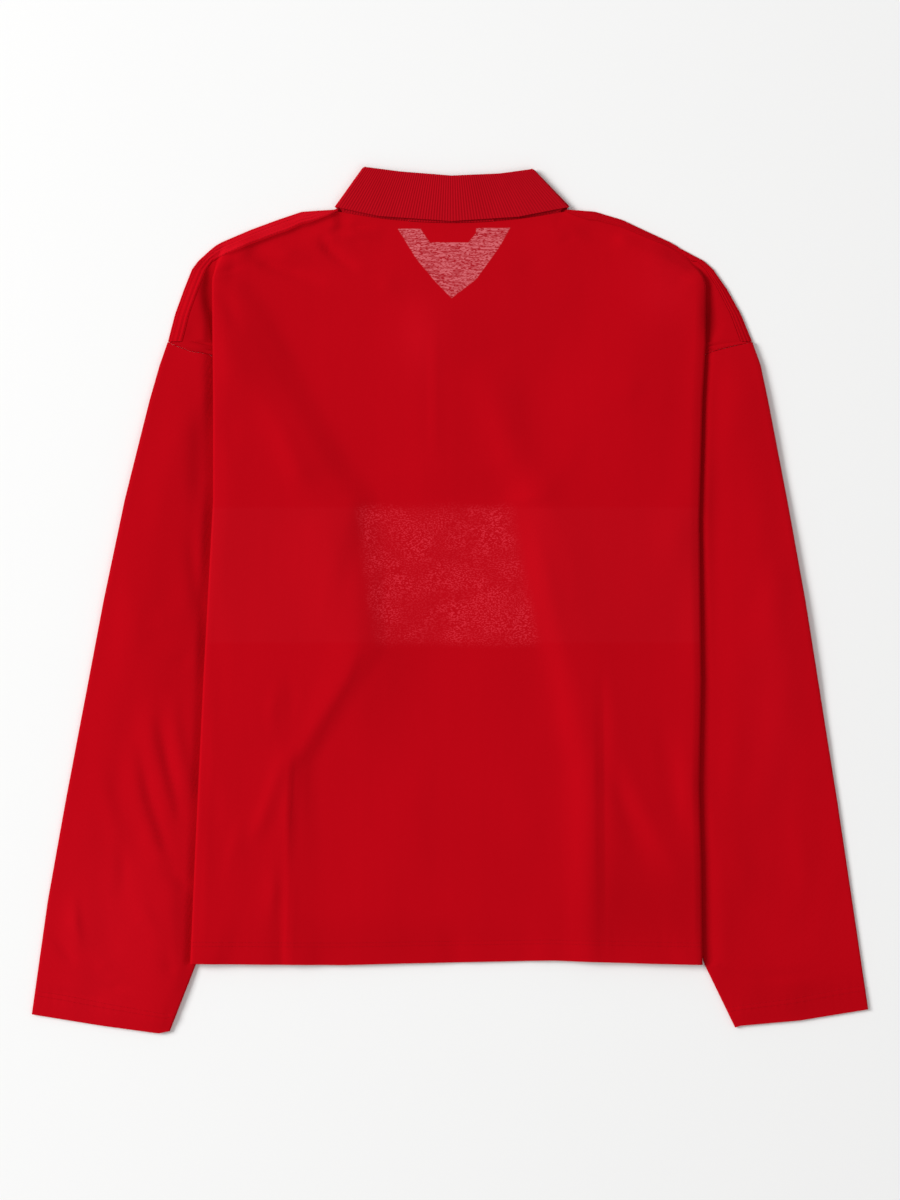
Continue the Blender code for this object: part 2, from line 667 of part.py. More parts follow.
def build():
    clear_scene()
    finishes = {name: material(name) for name in COLOURS}
    back_panel(finishes["jersey"])
    front_panel(finishes["jersey"])
    for name, side in SIDES.items():
        sleeve("sleeve_" + name, side, finishes["jersey"])
    collar(finishes["rib_knit"])
    upper = CLOTH / 2 + PLACKET_LIFT
    placket("placket_upper", upper, finishes["jersey"])
    placket("placket_under", upper + PITCH, finishes["jersey"])
    neck_tape(finishes["tape"])
    neck_label(finishes["label"])
    for name, y in BUTTON_LEVELS.items():
        button(name, y, finishes["button"])


build()
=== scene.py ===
# A long-sleeve polo shirt in red cotton jersey, laid face down with its back showing.
# Tables are in millimetres: q is the distance from the centre line to either side, y runs up the shirt.
import math

import bmesh
import bpy
import numpy as np
from mathutils import Matrix, Vector


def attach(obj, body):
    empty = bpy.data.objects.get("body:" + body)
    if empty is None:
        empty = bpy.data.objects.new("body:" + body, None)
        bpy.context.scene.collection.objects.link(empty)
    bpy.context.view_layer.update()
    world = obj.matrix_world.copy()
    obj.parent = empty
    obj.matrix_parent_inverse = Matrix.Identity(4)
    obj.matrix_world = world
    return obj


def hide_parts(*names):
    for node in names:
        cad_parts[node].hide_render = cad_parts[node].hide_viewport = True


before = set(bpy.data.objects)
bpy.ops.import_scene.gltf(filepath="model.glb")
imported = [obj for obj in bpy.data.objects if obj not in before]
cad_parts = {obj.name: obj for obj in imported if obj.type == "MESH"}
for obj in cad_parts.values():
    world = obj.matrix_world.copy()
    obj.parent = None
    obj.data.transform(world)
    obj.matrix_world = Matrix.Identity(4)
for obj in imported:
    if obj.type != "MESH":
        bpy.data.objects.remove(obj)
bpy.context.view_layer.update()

mm = 0.001
print("frame loaded:", len(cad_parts), "nodes")

cloth = {
    "thick": 1.0,  # jersey wall
    "pitch": 1.35,  # from one pressed layer to the next
    "gap": 0.35,  # between two pieces at a seam
    "bend": 6,  # facets in a pressed fold
}
hemShape = {
    "depth": 20.0,
    "raise": 0.35,  # the turned-up hem stands this much higher
    "rows": (20.4, 16.4),  # the two rows of stitches, from the edge
    "grooves": (1.7, 1.5),  # how wide each row's groove is
    "deep": 0.16,  # how deep the stitches draw the cloth in
    # the puckers between them: their pace and its sway along the hem, and how far up they lie
    "pucker": 0.10, "puckers": {"body": (0.83, 1.7, 0.11, 19.0), "cuff": (0.9, 1.5, 0.13, 18.0)},
}
floorPair = (cloth["thick"] + cloth["pitch"]) / 2  # the middle of the two lowest layers
foldOut = cloth["pitch"] + floorPair
shut = 3.14  # a fold that has turned this far is pressed flat

body = {
    "centreX": 1.4,
    "centreY": 1.4,
    "hem": -334.0,
    "armpit": 92.0,
    "blend": 165.0,  # above this the rows bend up to the neckline and shoulders
    "tip": 237.4,  # where the armhole seam reaches the outline
    "pleat": 290.0,  # below this the side pleat is shut
    "seamRow": 311.0,
    "topRow": 324.0,
    "neckQ": 104.4,
    "stripWide": 1.1, "stripHigh": 1.08,  # the rolled strip's share of its drawn width, in the columns and the rows
    "frontSeamDrop": 8.0,
    "leastShoulder": 6.0,
    "hemRise": [(-250, 0), (-101, -1.4), (-46, 0), (92, 2.8), (184, 0), (230, -0.9)],
    "keyLevels": [(-334, 0), (-317.5, 4), (-314, 1), (92, 84), (124, 7), (165, 9), (237.4, 18), (283, 14),
                  (290, 3), (311, 11), (324, 5)],  # each level and the rows that lead up to it
    "columns": {"placket": 4, "inner": 22, "outer": 30, "hidden": 22, "shoulder": 14, "strip": 5},
    "sleeveMargin": 12.0,
    "sleeveStep": 22.0,
    "backNeck": (346.3, 357.0),
    "frontNeck": [(16.5, 270.5), (35, 281), (55, 297), (75, 318), (90, 338), (104.4, 359)],
}
placketShape = {"half": 16.5, "bottom": 124.0, "top": 269.0, "lift": 2.1, "fade": 13.0}
collarShape = {"middle": 3.125, "pitch": 1.65, "thick": 1.2, "leafLift": 1.65, "neckLift": 2.1,
               "apex": (1.5, 277.5), "leafTip": (40.0, 228.0),
               "rib": 1.95, "ribDepth": 0.13, "samplesPerRib": 6}

sides = {
    "left": {
        "sign": -1,
        "outline": [(104.4, 359.0), (137.6, 357.0), (159.6, 349.6), (184.5, 340.4), (210.2, 329.4),
                    (220.4, 323.8), (233.2, 311.0), (238.8, 303.6), (246.1, 285.2), (254.4, 262.2),
                    (260.8, 237.4)],
        "armhole": [(260.8, 237.4), (250.7, 232.8), (238.8, 228.2), (220.4, 225.4), (104.0, 92.0)],
        "bodyEdge": [(240.0, -334), (235.0, -221), (228.0, -74), (224.0, 0), (219.0, 92), (219.0, 184),
                     (220.0, 290)],
        "flapEnd": [(151.6, -334), (142.0, -147), (90.0, -46), (98.0, 92)],
        "stepWidth": [(-334, 34), (-220, 26), (-165, 13), (-46, 30), (92, 34), (324, 32)],  # level, width
        "stepMargin": [(-334, 2), (-46, 3), (92, 1), (130, -2), (324, -2)],
        "sleeveOuter": [(260.8, 237.4), (268.2, 216.2), (277.4, 184.0), (300.4, 92.0), (319.7, 0.0),
                        (354.7, -184.0), (371.2, -276.0), (386.0, -380.9)],
        "sleeveInner": [(104.0, 92.0), (234.6, -334.0), (259.0, -396.5)],
        "cuff": [(386.0, -380.9), (323.4, -391.0), (268.2, -398.4), (259.0, -396.5)],
        "pleat": [(324, 0, 204.0), (311, 35, 209.0), (303, 90, 214.0), (296, 135, 217.0), (290, 180, 217.5)],
        "strip": [(104.4, 2.0), (130.0, 10.0), (150.0, 12.5), (260.0, 12.5)],
        "collarFold": [(0.0, 390.0), (47.4, 393.8), (82.4, 398.4)],
        "collarEdge": [(0.0, 347.8), (66.7, 352.4), (107.5, 361.2)],
    },
    "right": {
        "sign": 1,
        "outline": [(104.4, 359.0), (132.0, 357.0), (156.8, 349.6), (176.2, 340.4), (200.1, 329.4),
                    (210.2, 323.8), (232.3, 311.0), (240.6, 303.6), (253.4, 285.2), (266.3, 262.2),
                    (276.4, 237.4)],
        "armhole": [(276.4, 237.4), (264.5, 235.0), (241.5, 229.0), (232.0, 226.4), (105.6, 92.0)],
        "bodyEdge": [(230.6, -334), (229.6, -240), (227.6, -170), (229.6, -74), (227.6, 74), (230.6, 184),
                     (233.6, 237), (233.6, 290)],
        "flapEnd": [(140.0, -334), (138.0, -92), (115.0, 0), (99.6, 92)],
        "stepWidth": [(-334, 28), (-92, 28), (74, 30), (165, 80), (324, 85)],
        "stepMargin": [(-334, 9), (-147, 9), (-110, 19), (60, 20), (110, 12), (324, 6)],
        "sleeveOuter": [(276.4, 237.4), (284.0, 216.2), (290.8, 184.0), (308.6, 92.0), (325.2, 0.0),
                        (354.6, -184.0), (368.4, -276.0), (383.2, -376.3)],
        "sleeveInner": [(105.6, 92.0), (232.6, -335.0), (260.6, -392.8)],
        "cuff": [(383.2, -376.3), (320.6, -386.4), (264.0, -391.5), (260.6, -392.8)],
        "pleat": [(324, 0, 196.0), (311, 0, 214.0), (303, 45, 224.0), (296, 105, 229.0), (290, 180, 231.0)],
        "strip": [(104.4, 2.0), (125.0, 8.0), (200.0, 5.0), (235.0, 6.0), (276.0, 10.0)],
        "collarFold": [(0.0, 390.0), (44.6, 392.0), (76.8, 396.5)],
        "collarEdge": [(0.0, 347.8), (61.2, 351.8), (108.8, 361.2)],
    },
}

# Creases, each as its width to the left and to the right of its line, then the line drawn downwards:
# x, y and how far the cloth stands up there, or sinks where that is below zero.
backFolds = {
    "left pleat": (17, 31, [(-228, 294, 0), (-217, 262, 0.9), (-202, 235, 1.4), (-181, 206, 1.4),
                            (-164, 184, 1.3), (-149, 152, 1.3), (-133, 120, 1.2), (-116, 88, 0)]),
    "left pleat second": (8, 10, [(-214, 312, 0), (-196, 286, 0.35), (-176, 262, 0.4), (-158, 246, 0)]),
    "left pleat third": (10, 9, [(-170, 176, 0), (-152, 150, 0.5), (-140, 118, 0.4), (-130, 92, 0)]),
    "left pleat outer": (9, 11, [(-214, 232, 0), (-200, 208, 0.6), (-184, 190, 0)]),
    "left pleat fine": (5, 8, [(-178, 258, 0), (-160, 232, 0.45), (-140, 204, 0)]),
    "left band": (32, 38, [(-110, 112, 0), (-101, 66, 2.2), (-95, 10, 3.0), (-92, -44, 3.0), (-104, -84, 1.6),
                           (-125, -120, 0)]),
    "left neck level": (2.6, 3.4, [(-106, 339, -0.9), (-87, 342, -1.5), (-66, 343, 0)]),
    "left neck puff": (13, 13, [(-116, 336, 0.6), (-90, 337, 1.3), (-60, 338, 0)]),
    "left diagonal": (13, 4.5, [(-80, -30, 0), (-94, -72, 0.6), (-120, -112, 0.9), (-141, -147, 0.8),
                                (-147, -161, 0)]),
    "left upright top": (18, 3.5, [(-145, -132, 0), (-147, -152, 1.0), (-149, -200, 0.9), (-150, -245, 0)]),
    "left upright": (3.5, 3.2, [(-148, -150, 0), (-149, -190, 0.5), (-148, -250, 0.4), (-147, -322, 0.6),
                                (-147, -340, 0.5)]),
    "left of upright": (8, 3.5, [(-155, -248, 0), (-155, -290, -0.4), (-154, -338, -0.8)]),
    "left flap slant": (6, 8, [(-150, -135, 0), (-160, -165, 0.7), (-172, -200, 0.9), (-183, -226, 0)]),
    "left flap slant outer": (6, 9, [(-190, -198, 0), (-198, -225, 0.6), (-207, -268, 0)]),
    "left flap low": (7, 5, [(-163, -240, 0), (-162, -268, 0.7), (-166, -305, 0)]),
    "left flap mid": (5, 4, [(-158, -72, 0), (-163, -100, 0.5), (-160, -128, 0)]),
    "left flap trough": (5, 6, [(-150, -60, 0), (-145, -90, -0.5), (-148, -120, 0)]),
    "right ridge": (19, 23, [(31, 222, 0), (43, 188, 1.4), (51, 160, 2.1), (60, 133, 2.2), (72, 108, 1.5),
                             (83, 80, 0.5), (90, 56, 0)]),
    "right crest": (18, 36, [(76, 122, 0), (83, 86, 0.5), (88, 56, 1.2), (98, -10, 1.6), (114, -88, 1.6),
                             (129, -150, 1.5), (131, -230, 1.2), (127, -320, 0.8)]),
    "right upright": (2.2, 7.0, [(137, -62, 0), (138, -100, -0.7), (138.5, -160, -1.1), (138.5, -230, -1.0),
                                 (138, -290, -0.7), (137, -340, -0.3)]),
    "right of upright": (10, 30, [(146, -110, 0), (148, -170, -0.4), (150, -240, -0.7), (152, -310, -0.6),
                                  (150, -345, -0.2)]),
    "low right first": (9, 11, [(142, -138, 0), (156, -177, -0.8), (172, -225, -0.4), (186, -262, 0)]),
    "low right ridge": (9, 12, [(158, -150, 0), (176, -191, 0.9), (198, -232, 0.7), (214, -262, 0)]),
    "low right second": (8, 10, [(192, -108, 0), (200, -150, -0.6), (206, -190, -0.8), (221, -226, 0)]),
    "low right outer": (12, 9, [(214, -120, 0), (219, -165, 0.6), (222, -205, 0)]),
    "placket line": (2.5, 7, [(-15.5, 262, 0), (-15.5, 225, 0.38), (-15.5, 160, 0.35), (-15.5, 121, 0)]),
    "placket top": (22, 34, [(-16, 284, 0), (-16, 262, 1.1), (-15, 238, 1.0), (-14, 206, 0)]),
    "left corner": (3, 4, [(-219, 309, -1.0), (-205, 304, -0.9), (-190, 302, 0)]),
    "left corner low": (6, 7, [(-214, 288, 0), (-207, 277, -0.9), (-200, 262, -0.7), (-190, 244, 0)]),
    "left corner pucker": (2.5, 3, [(-220, 301, -0.6), (-211, 306, -1.0), (-200, 305, 0)]),
    "left shoulder": (5, 7, [(-190, 320, 0), (-168, 309, -1.9), (-145, 301, -1.8), (-112, 290, 0)]),
    "left shoulder ridge": (7, 9, [(-176, 330, 0), (-150, 316, 0.8), (-128, 308, 0)]),
    "left neck": (3.2, 4.5, [(-122, 335, 0), (-112, 322, -1.8), (-99, 311, -1.6), (-84, 303, 0)]),
    "left neck short": (3, 4, [(-98, 332, 0), (-88, 328, -0.5), (-78, 325, 0)]),
    "left of label": (6, 8, [(-66, 300, 0), (-58, 290, 0.4), (-50, 280, 0)]),
    "right shoulder": (5, 9, [(112, 340, 0), (132, 334, -0.8), (150, 331, -0.7), (164, 326, 0)]),
    "right shoulder fine": (3, 4, [(96, 344, 0), (112, 334, -0.5), (98, 326, 0)]),
    "right neck": (20, 22, [(52, 336, 0), (78, 310, -0.6), (98, 276, 0)]),
    "right corner": (32, 7, [(228, 306, 0), (229, 290, 1.0), (229, 268, 1.0), (228, 244, 0)]),
    "right pull": (5, 8, [(165, 341, 0), (158, 330, 0.5), (150, 318, 0)]),
    "right pull outer": (4, 6, [(223, 315, 0), (215, 300, -0.4), (204, 280, 0)]),
    "right middle": (14, 10, [(170, 216, 0), (166, 196, 0.5), (150, 170, 0)]),
    "left side": (12, 9, [(-206, 184, 0), (-203, 160, -0.6), (-198, 128, 0)]),
    "left side low": (9, 8, [(-214, 30, 0), (-215, -30, -0.5), (-213, -74, -0.4), (-214, -120, 0)]),
    "left side lowest": (8, 9, [(-219, -150, 0), (-218, -195, -0.6), (-220, -240, 0)]),
    "right side": (16, 12, [(206, 96, 0), (208, 60, 0.5), (206, 20, 0)]),
    "hem middle": (10, 12, [(-4, -292, 0), (2, -312, -0.5), (4, -334, -0.6)]),
    "hem left": (8, 8, [(-128, -300, 0), (-131, -322, 0.4), (-131, -338, 0.5)]),
    "hem right": (12, 10, [(66, -296, 0), (70, -318, -0.4), (70, -336, -0.5)]),
}
sleeveFolds = {
    "left shoulder trough": (5, 7, [(-246, 262, 0), (-238, 246, -0.8), (-231, 232, 0)]),
    "left beside body": (9, 5, [(-226, 182, 0), (-226, 150, -1.0), (-227, 110, -1.2), (-225, 78, 0)]),
    "left beside body low": (7, 5, [(-240, 74, 0), (-235, 36, -0.8), (-229, -4, -1.0), (-226, -34, 0)]),
    "left beside body ridge": (14, 8, [(-236, 190, 0), (-243, 158, 0.6), (-244, 110, 0.6), (-243, 70, 0.4),
                                       (-246, 34, 0.5), (-240, -14, 0)]),
    "left mid crosswise": (7, 9, [(-282, -22, 0), (-264, -20, 0.5), (-240, -14, 0)]),
    "left mid crosswise low": (6, 6, [(-262, -58, 0), (-246, -56, -0.4), (-234, -50, 0)]),
    "left elbow": (12, 8, [(-278, -92, 0), (-274, -128, 1.2), (-264, -170, 1.5), (-254, -206, 0)]),
    "left elbow groove": (4, 4, [(-270, -104, 0), (-261, -145, -0.8), (-250, -192, -0.7), (-246, -206, 0)]),
    "left elbow outer": (12, 7, [(-296, -120, 0), (-288, -168, 1.0), (-273, -218, 1.4), (-256, -250, 0)]),
    "left elbow outer groove": (4, 4.5, [(-287, -132, 0), (-277, -182, -0.8), (-262, -228, -0.8), (-250, -250, 0)]),
    "left elbow inner": (8, 6, [(-256, -84, 0), (-252, -122, 1.0), (-243, -164, 1.0), (-238, -186, 0)]),
    "left low crosswise": (4, 5, [(-270, -240, 0), (-256, -252, -0.9), (-244, -262, -1.0), (-232, -268, 0)]),
    "left forearm slant": (8, 7, [(-322, -150, 0), (-312, -196, 0.7), (-300, -236, 0)]),
    "left forearm groove": (6, 5, [(-306, -214, 0), (-300, -246, -0.6), (-298, -276, 0)]),
    "left wrist slant": (9, 7, [(-290, -262, 0), (-278, -292, 0.6), (-262, -318, 0)]),
    "left wrist outer": (8, 9, [(-330, -322, 0), (-318, -336, 0.6), (-300, -346, 0)]),
    "left forearm": (46, 12, [(-262, -226, 0), (-258, -282, 1.6), (-254, -340, 1.6), (-252, -380, 0.8)]),
    "left arm": (14, 12, [(-304, 37, 0), (-290, -18, 0.5), (-285, -92, 0)]),
    "left upper arm": (14, 14, [(-276, 156, 0), (-267, 92, 0.4), (-269, 18, 0)]),
    "left cuff outer": (4, 5, [(-368, -302, 0), (-356, -320, -1.1), (-345, -336, 0)]),
    "left cuff upright": (8, 4, [(-346, -266, 0), (-344, -296, 1.1), (-339, -324, 0)]),
    "left cuff level": (3, 4, [(-322, -352, 0), (-308, -356, -0.6), (-290, -358, 0)]),
    "left cuff line": (2.5, 3.5, [(-378, -358, 0), (-355, -361, -0.7), (-332, -366, -0.7), (-318, -369, 0)]),
    "left wrist": (7, 8, [(-262, -318, 0), (-256, -338, -0.7), (-248, -352, 0)]),
    "right beside body": (6, 12, [(241, 230, 0), (242, 110, -0.5), (241, -37, -0.6), (245, -184, -0.6),
                                  (250, -313, 0)]),
    "right upper arm": (16, 14, [(268, 216, 0), (276, 190, 0.9), (280, 150, 0)]),
    "right elbow": (20, 26, [(290, 40, 0), (296, -20, 0.9), (298, -92, 0.9), (300, -150, 0)]),
    "right forearm": (18, 24, [(300, -184, 0), (310, -258, -0.4), (320, -322, 0)]),
    "right low": (9, 12, [(262, -216, 0), (270, -250, 0.4), (274, -282, 0)]),
    "right cuff": (4, 5, [(252, -343, 0), (290, -347, -0.5), (340, -343, -0.5), (372, -338, 0)]),
}
# the side that lies down, where these lift a little off the surface
frontFolds = {
    "chest left": (14, 10, [(-62, 60, 0), (-74, 8, 0.6), (-70, -62, 0)]),
    "chest right": (10, 16, [(52, 104, 0), (80, 40, 0.7), (88, -34, 0)]),
    "belly": (18, 12, [(-18, -118, 0), (-34, -190, 0.6), (-24, -262, 0)]),
    "belly right": (12, 12, [(58, -140, 0), (72, -205, 0.55), (64, -276, 0)]),
    "sleeve left": (10, 12, [(-290, 40, 0), (-300, -40, 0.5), (-296, -120, 0)]),
    "sleeve left low": (8, 8, [(-300, -210, 0), (-312, -262, 0.45), (-306, -318, 0)]),
    "sleeve right": (12, 9, [(285, 90, 0), (300, 12, 0.5), (298, -70, 0)]),
    "sleeve right low": (8, 9, [(312, -170, 0), (322, -232, 0.45), (330, -292, 0)]),
}


# Reading the tables


def readTable(rows, at, column=1):
    return np.interp(at, [row[0] for row in rows], [row[column] for row in rows])


def edgeQ(table, y):
    rows = sorted(table, key=lambda row: row[1])
    return np.interp(y, [row[1] for row in rows], [row[0] for row in rows])


def edgeY(table, q):
    return readTable(sorted(table), q)


def between(start, end, share):
    return start + (end - start) * share


def lengthsAlong(points):
    return np.r_[0, np.cumsum(np.linalg.norm(np.diff(points, axis=0), axis=1))]


def along(points, share):
    ends = np.array(points, float)
    steps = lengthsAlong(ends)
    return np.array([np.interp(share * steps[-1], steps, column) for column in ends.T])


def ease(t):
    t = np.clip(t, 0.0, 1.0)
    return t * t * (3 - 2 * t)


# 0 up to where the limits start and 1 from their width further on
def rising(at, limits):
    start, width = limits
    return ease((at - start) / width)


# Each edge of a convex outline, as its start and the direction that points out of the outline
def outlineEdges(corners):
    middle = np.mean(corners, axis=0)
    for a, b in zip(corners, corners[1:] + corners[:1]):
        run = np.subtract(b, a)
        normal = np.array([run[1], -run[0]]) / np.linalg.norm(run)
        yield a, -normal if np.dot(normal, middle - a) > 0 else normal


# 1 over a convex outline and a margin round it, falling to 0 over a width beyond that
def plateau(q, y, corners, margin, width):
    outside = np.full(np.shape(q), -1e9)
    for a, outward in outlineEdges(corners):
        outside = np.maximum(outside, outward[0] * (q - a[0]) + outward[1] * (y - a[1]))
    return 1.0 - ease((outside - margin) / width)


def creases(folds, x, y):
    total = np.zeros(np.shape(x))
    for toLeft, toRight, path in folds.values():
        nearest = np.full(np.shape(x), 1e9)
        stands = np.zeros(np.shape(x))
        for a, b in zip(path, path[1:]):
            run = np.subtract(b[:2], a[:2])
            t = np.clip(((x - a[0]) * run[0] + (y - a[1]) * run[1]) / np.dot(run, run), 0.0, 1.0)
            dx, dy = x - a[0] - t * run[0], y - a[1] - t * run[1]
            far = np.hypot(dx, dy)
            width = np.where(run[0] * dy - run[1] * dx > 0, toRight, toLeft)
            height = (a[2] + t * (b[2] - a[2])) * np.exp(-(far / width) ** 2)
            stands = np.where(far < nearest, height, stands)
            nearest = np.minimum(far, nearest)
        total += stands
    return total


# broad unevenness that all laid cloth has
def drift(x, y, size):
    waves = [(0.031, 0.011, 0.4), (-0.013, 0.027, 2.1), (0.052, -0.019, 4.0), (0.021, 0.047, 1.3),
             (-0.064, 0.008, 5.2)]
    total = np.zeros(np.shape(x))
    for a, b, start in waves:
        total += np.sin(a * x + b * y + start + 0.8 * np.sin(0.017 * y - 0.009 * x + start))
    return size * total / len(waves)


# the larger of two heights, with the corner between them rounded
def softMax(a, b, soft=0.2):
    return b + soft * np.logaddexp(0.0, (a - b) / soft)


relief = {
    "depth": 1.6,  # all creases on the shown side, times this
    # level, then how much of the height of the flap or pleat beneath shows, and of the sleeve beneath
    "shown": {"left": [(-334, 0.15, 0.2), (-245, 0.3, 0.2), (-165, 0.85, 0.2), (0, 0.75, 0.2), (92, 0.55, 0.6),
                       (190, 0.5, 0.6), (324, 0.45, 0.6)],
              "right": [(-334, 0.9, 0.15), (0, 0.95, 0.15), (92, 0.8, 0.6), (160, 0.65, 0.6), (324, 0.65, 0.6)]},
    "puff": {"left": 1.0, "right": 1.4},
    # over the placket: its height, its flat half width and fall beyond it, the level where it starts and its growth
    "humpHigh": 1.5, "humpTo": (17.0, 110.0), "humpFrom": (90, 34),
    "shoulder": {"left": (5.6, -3.8), "right": (2.6, -1.6)},  # height at the seam, dip below it
    "roll": {"left": 9.0, "right": 3.0},  # how far in from the side fold the cloth starts to turn down
    "drift": 1.2, "driftIn": 20.0,  # the unevenness of all laid cloth, whole this far in from the side fold
    "ownSide": 90.0,  # this far from the centre line each side has its own values
    "settle": (0.4, 48.0),  # the share that is left at the hem, and how far up it is whole again
    "seamFade": 46.0,  # the back comes down to the seam over this
    "neckEnd": (101, 9), "shoulderEnd": (186, 30),  # where the seam's height changes, and over what width
    "dipFrom": (96, 18), "dipTo": (200, 16), "dip": (2.6, 24.0),  # how fast it sinks and how slowly it comes back
    # by y: the sleeves' height, how far it tilts up at the outer edge, and the crevice beside the body
    "sleeveHigh": {"left": [(-400, 1.7), (-334, 1.8), (-80, 2.3), (-20, 3.2), (150, 3.6), (232, 3.6), (258, 5.0),
                            (285, 6.0), (305, 5.4), (330, 3.0)],
                   "right": [(-400, 1.6), (-100, 1.8), (60, 2.6), (225, 2.8), (240, 2.2), (330, 1.8)]},
    "sleeveTilt": {"left": [(-400, -1.8), (-230, -1.2), (-60, 1.2), (120, 1.6), (240, 0.2), (330, 0.0)],
                   "right": [(-400, -2.2), (-230, -1.6), (-60, 1.6), (120, 2.2), (240, 0.8), (330, 0.0)]},
    "crevice": {"left": [(-334, 4.0), (-90, 4.5), (0, 6.0), (150, 6.0), (240, 4.5), (253, 3.5), (262, 5.0),
                         (274, 8.0), (284, 10.0), (292, 8.0), (302, 6.5), (330, 5.0)],
                "right": [(-334, 15.0), (-150, 12.0), (-40, 7.0), (60, 5.0), (225, 4.5), (238, 7.0), (253, 14.0),
                          (275, 9.0), (290, 6.0), (330, 6.0)]},
    "sleeveEdge": (0.55, 38.0),  # the share that is left at the outer edge, and how far in it is whole again
}
neckPits = {
    "left": (4.5, 5, [(-102, 360, -2.2), (-99, 349, -2.4), (-96, 341, 0)]),
    "right": (3, 3, [(104, 358, -0.8), (101, 350, -0.9), (98, 344, 0)]),
}


# How far the back stands above the place where it would lie tight on the layers beneath
def backStand(name, level, q, y, z, foldQ, foldZ):
    side = sides[name]
    x = body["centreX"] + side["sign"] * q
    shown = np.array([[readTable(table, level, k) for k in (1, 2)] for table in relief["shown"].values()])
    own, common = ease(q / relief["ownSide"]), np.mean(shown, axis=0)
    ofFlap, ofSleeve = (between(both, mine, own) for both, mine in zip(common, shown[list(sides).index(name)]))
    sleeve, most = (sleeveRise(side, at, level) * (level < body["armpit"]) for at in (q, foldQ))
    stand = (1 - ofSleeve) * (most - sleeve) + (1 - ofFlap) * np.maximum(foldZ - most - (z - sleeve), 0.0)
    puff = between(np.mean(list(relief["puff"].values())), relief["puff"][name], own)
    stand = stand + puff * ease((foldQ - q) / relief["roll"][name])
    stand = stand + relief["humpHigh"] * (1 - rising(q, relief["humpTo"])) * rising(y, relief["humpFrom"])
    left, up = relief["settle"]
    stand = stand * between(left, 1.0, rising(y, (body["hem"], up)))
    stand = stand + drift(x, y, relief["drift"]) * ease((foldQ - q) / relief["driftIn"])
    seam = seamLine("back", side, q)
    atSeam, dipped = relief["shoulder"][name]
    neckEnd, shoulderEnd, dipFrom, dipTo = (
        rising(q, relief[key]) for key in ("neckEnd", "shoulderEnd", "dipFrom", "dipTo"))
    edge = between(collarShape["neckLift"], atSeam, neckEnd) * (1 - shoulderEnd)
    stand = between(edge, stand, ease((seam - y) / relief["seamFade"]))
    below = np.maximum(seam - y, 0.0)
    sink, rise = relief["dip"]
    stand = stand + dipped * dipFrom * (1 - dipTo) * (1 - np.exp(-below / sink)) * np.exp(-below / rise)
    stand = stand + relief["depth"] * creases(backFolds, x, y) * ease((seam - y - 1) / 9) + creases(neckPits, x, y)
    return softMax(stand, frontLift(side, q, y) + cloth["pitch"] * placketZone(q, y), 0.25)


# A turned-up hem: its step, the grooves under its two rows of stitches and the puckers between them
def hemForm(x, fromEdge, kind):
    step = hemShape["raise"] * ease((hemShape["depth"] + 1.2 - fromEdge) / 2.4)
    grooves = [np.exp(-((fromEdge - row) / wide) ** 2) for row, wide in zip(hemShape["rows"], hemShape["grooves"])]
    pace, sway, slow, middle = hemShape["puckers"][kind]
    pucker = np.sin(x * pace + sway * np.sin(x * slow)) * np.exp(-((fromEdge - middle) / 7) ** 2)
    return step + hemShape["pucker"] * pucker - hemShape["deep"] * sum(grooves)


# How far a sleeve's upper layer, or the shoulder beside the body, stands up
def sleeveRelief(side, q, y):
    x = body["centreX"] + side["sign"] * q
    name = "left" if side["sign"] < 0 else "right"
    inner = np.where(y > body["hem"], edgeQ(side["bodyEdge"], y), edgeQ(side["sleeveInner"], y))
    outer = np.where(y > body["tip"], edgeQ(side["outline"], y), edgeQ(side["sleeveOuter"], y))
    crevice = 1 - np.exp(-(np.maximum(q - inner, 0.0) / readTable(relief["crevice"][name], y)) ** 3)
    fromBody = np.where(y > body["hem"], crevice, between(0.75, 1.0, ease((q - inner) / 16)))
    kept, wide = relief["sleeveEdge"]
    fromEdge = between(kept, 1.0, ease((outer - q) / wide))
    tilt = np.clip((q - inner) / np.maximum(outer - inner, 1.0), 0.0, 1.0) * readTable(relief["sleeveTilt"][name], y)
    field = readTable(relief["sleeveHigh"][name], y) + tilt + drift(x + 90, y - 40, relief["drift"])
    field = field + relief["depth"] * creases(sleeveFolds, x, y) + drift(2.7 * x, 2.2 * y, 0.5)
    return softMax(field, 0.0) * fromBody * fromEdge


def leafCorners(side):
    return [side["collarFold"][-1], side["collarEdge"][-1], collarShape["leafTip"], collarShape["apex"]]


def placketZone(q, y):
    half, top = placketShape["half"], placketShape["top"] + 12
    corners = [(-half, placketShape["bottom"]), (half, placketShape["bottom"]), (half, top), (-half, top)]
    return plateau(q, y, corners, 2.0, placketShape["fade"])


def frontLift(side, q, y):
    leaf = collarShape["leafLift"] * plateau(q, y, leafCorners(side), 14.0, 16.0)
    return np.maximum(leaf, placketShape["lift"] * placketZone(q, y))


# The body's rows: each is one path through the two layers, out from the centre, round the side pleat,
# back in beneath and, above the armpit, out again to the armhole.


def pleatAt(side, level):
    rows = side["pleat"][::-1]
    if level < rows[0][0]:
        return math.pi, float(edgeQ(side["bodyEdge"], level)) - foldOut
    return math.radians(readTable(rows, level)), float(readTable(rows, level, 2))


def hiddenFold(side, level):
    share = np.clip((level - body["armpit"]) / (body["pleat"] - body["armpit"]), 0.0, 1.0)
    return between(side["flapEnd"][-1][0], side["pleat"][-1][2], share)


def bendChord(turn):
    return max(2 * cloth["pitch"] * math.sin(turn / cloth["bend"] / 2), 3.0 / cloth["bend"])


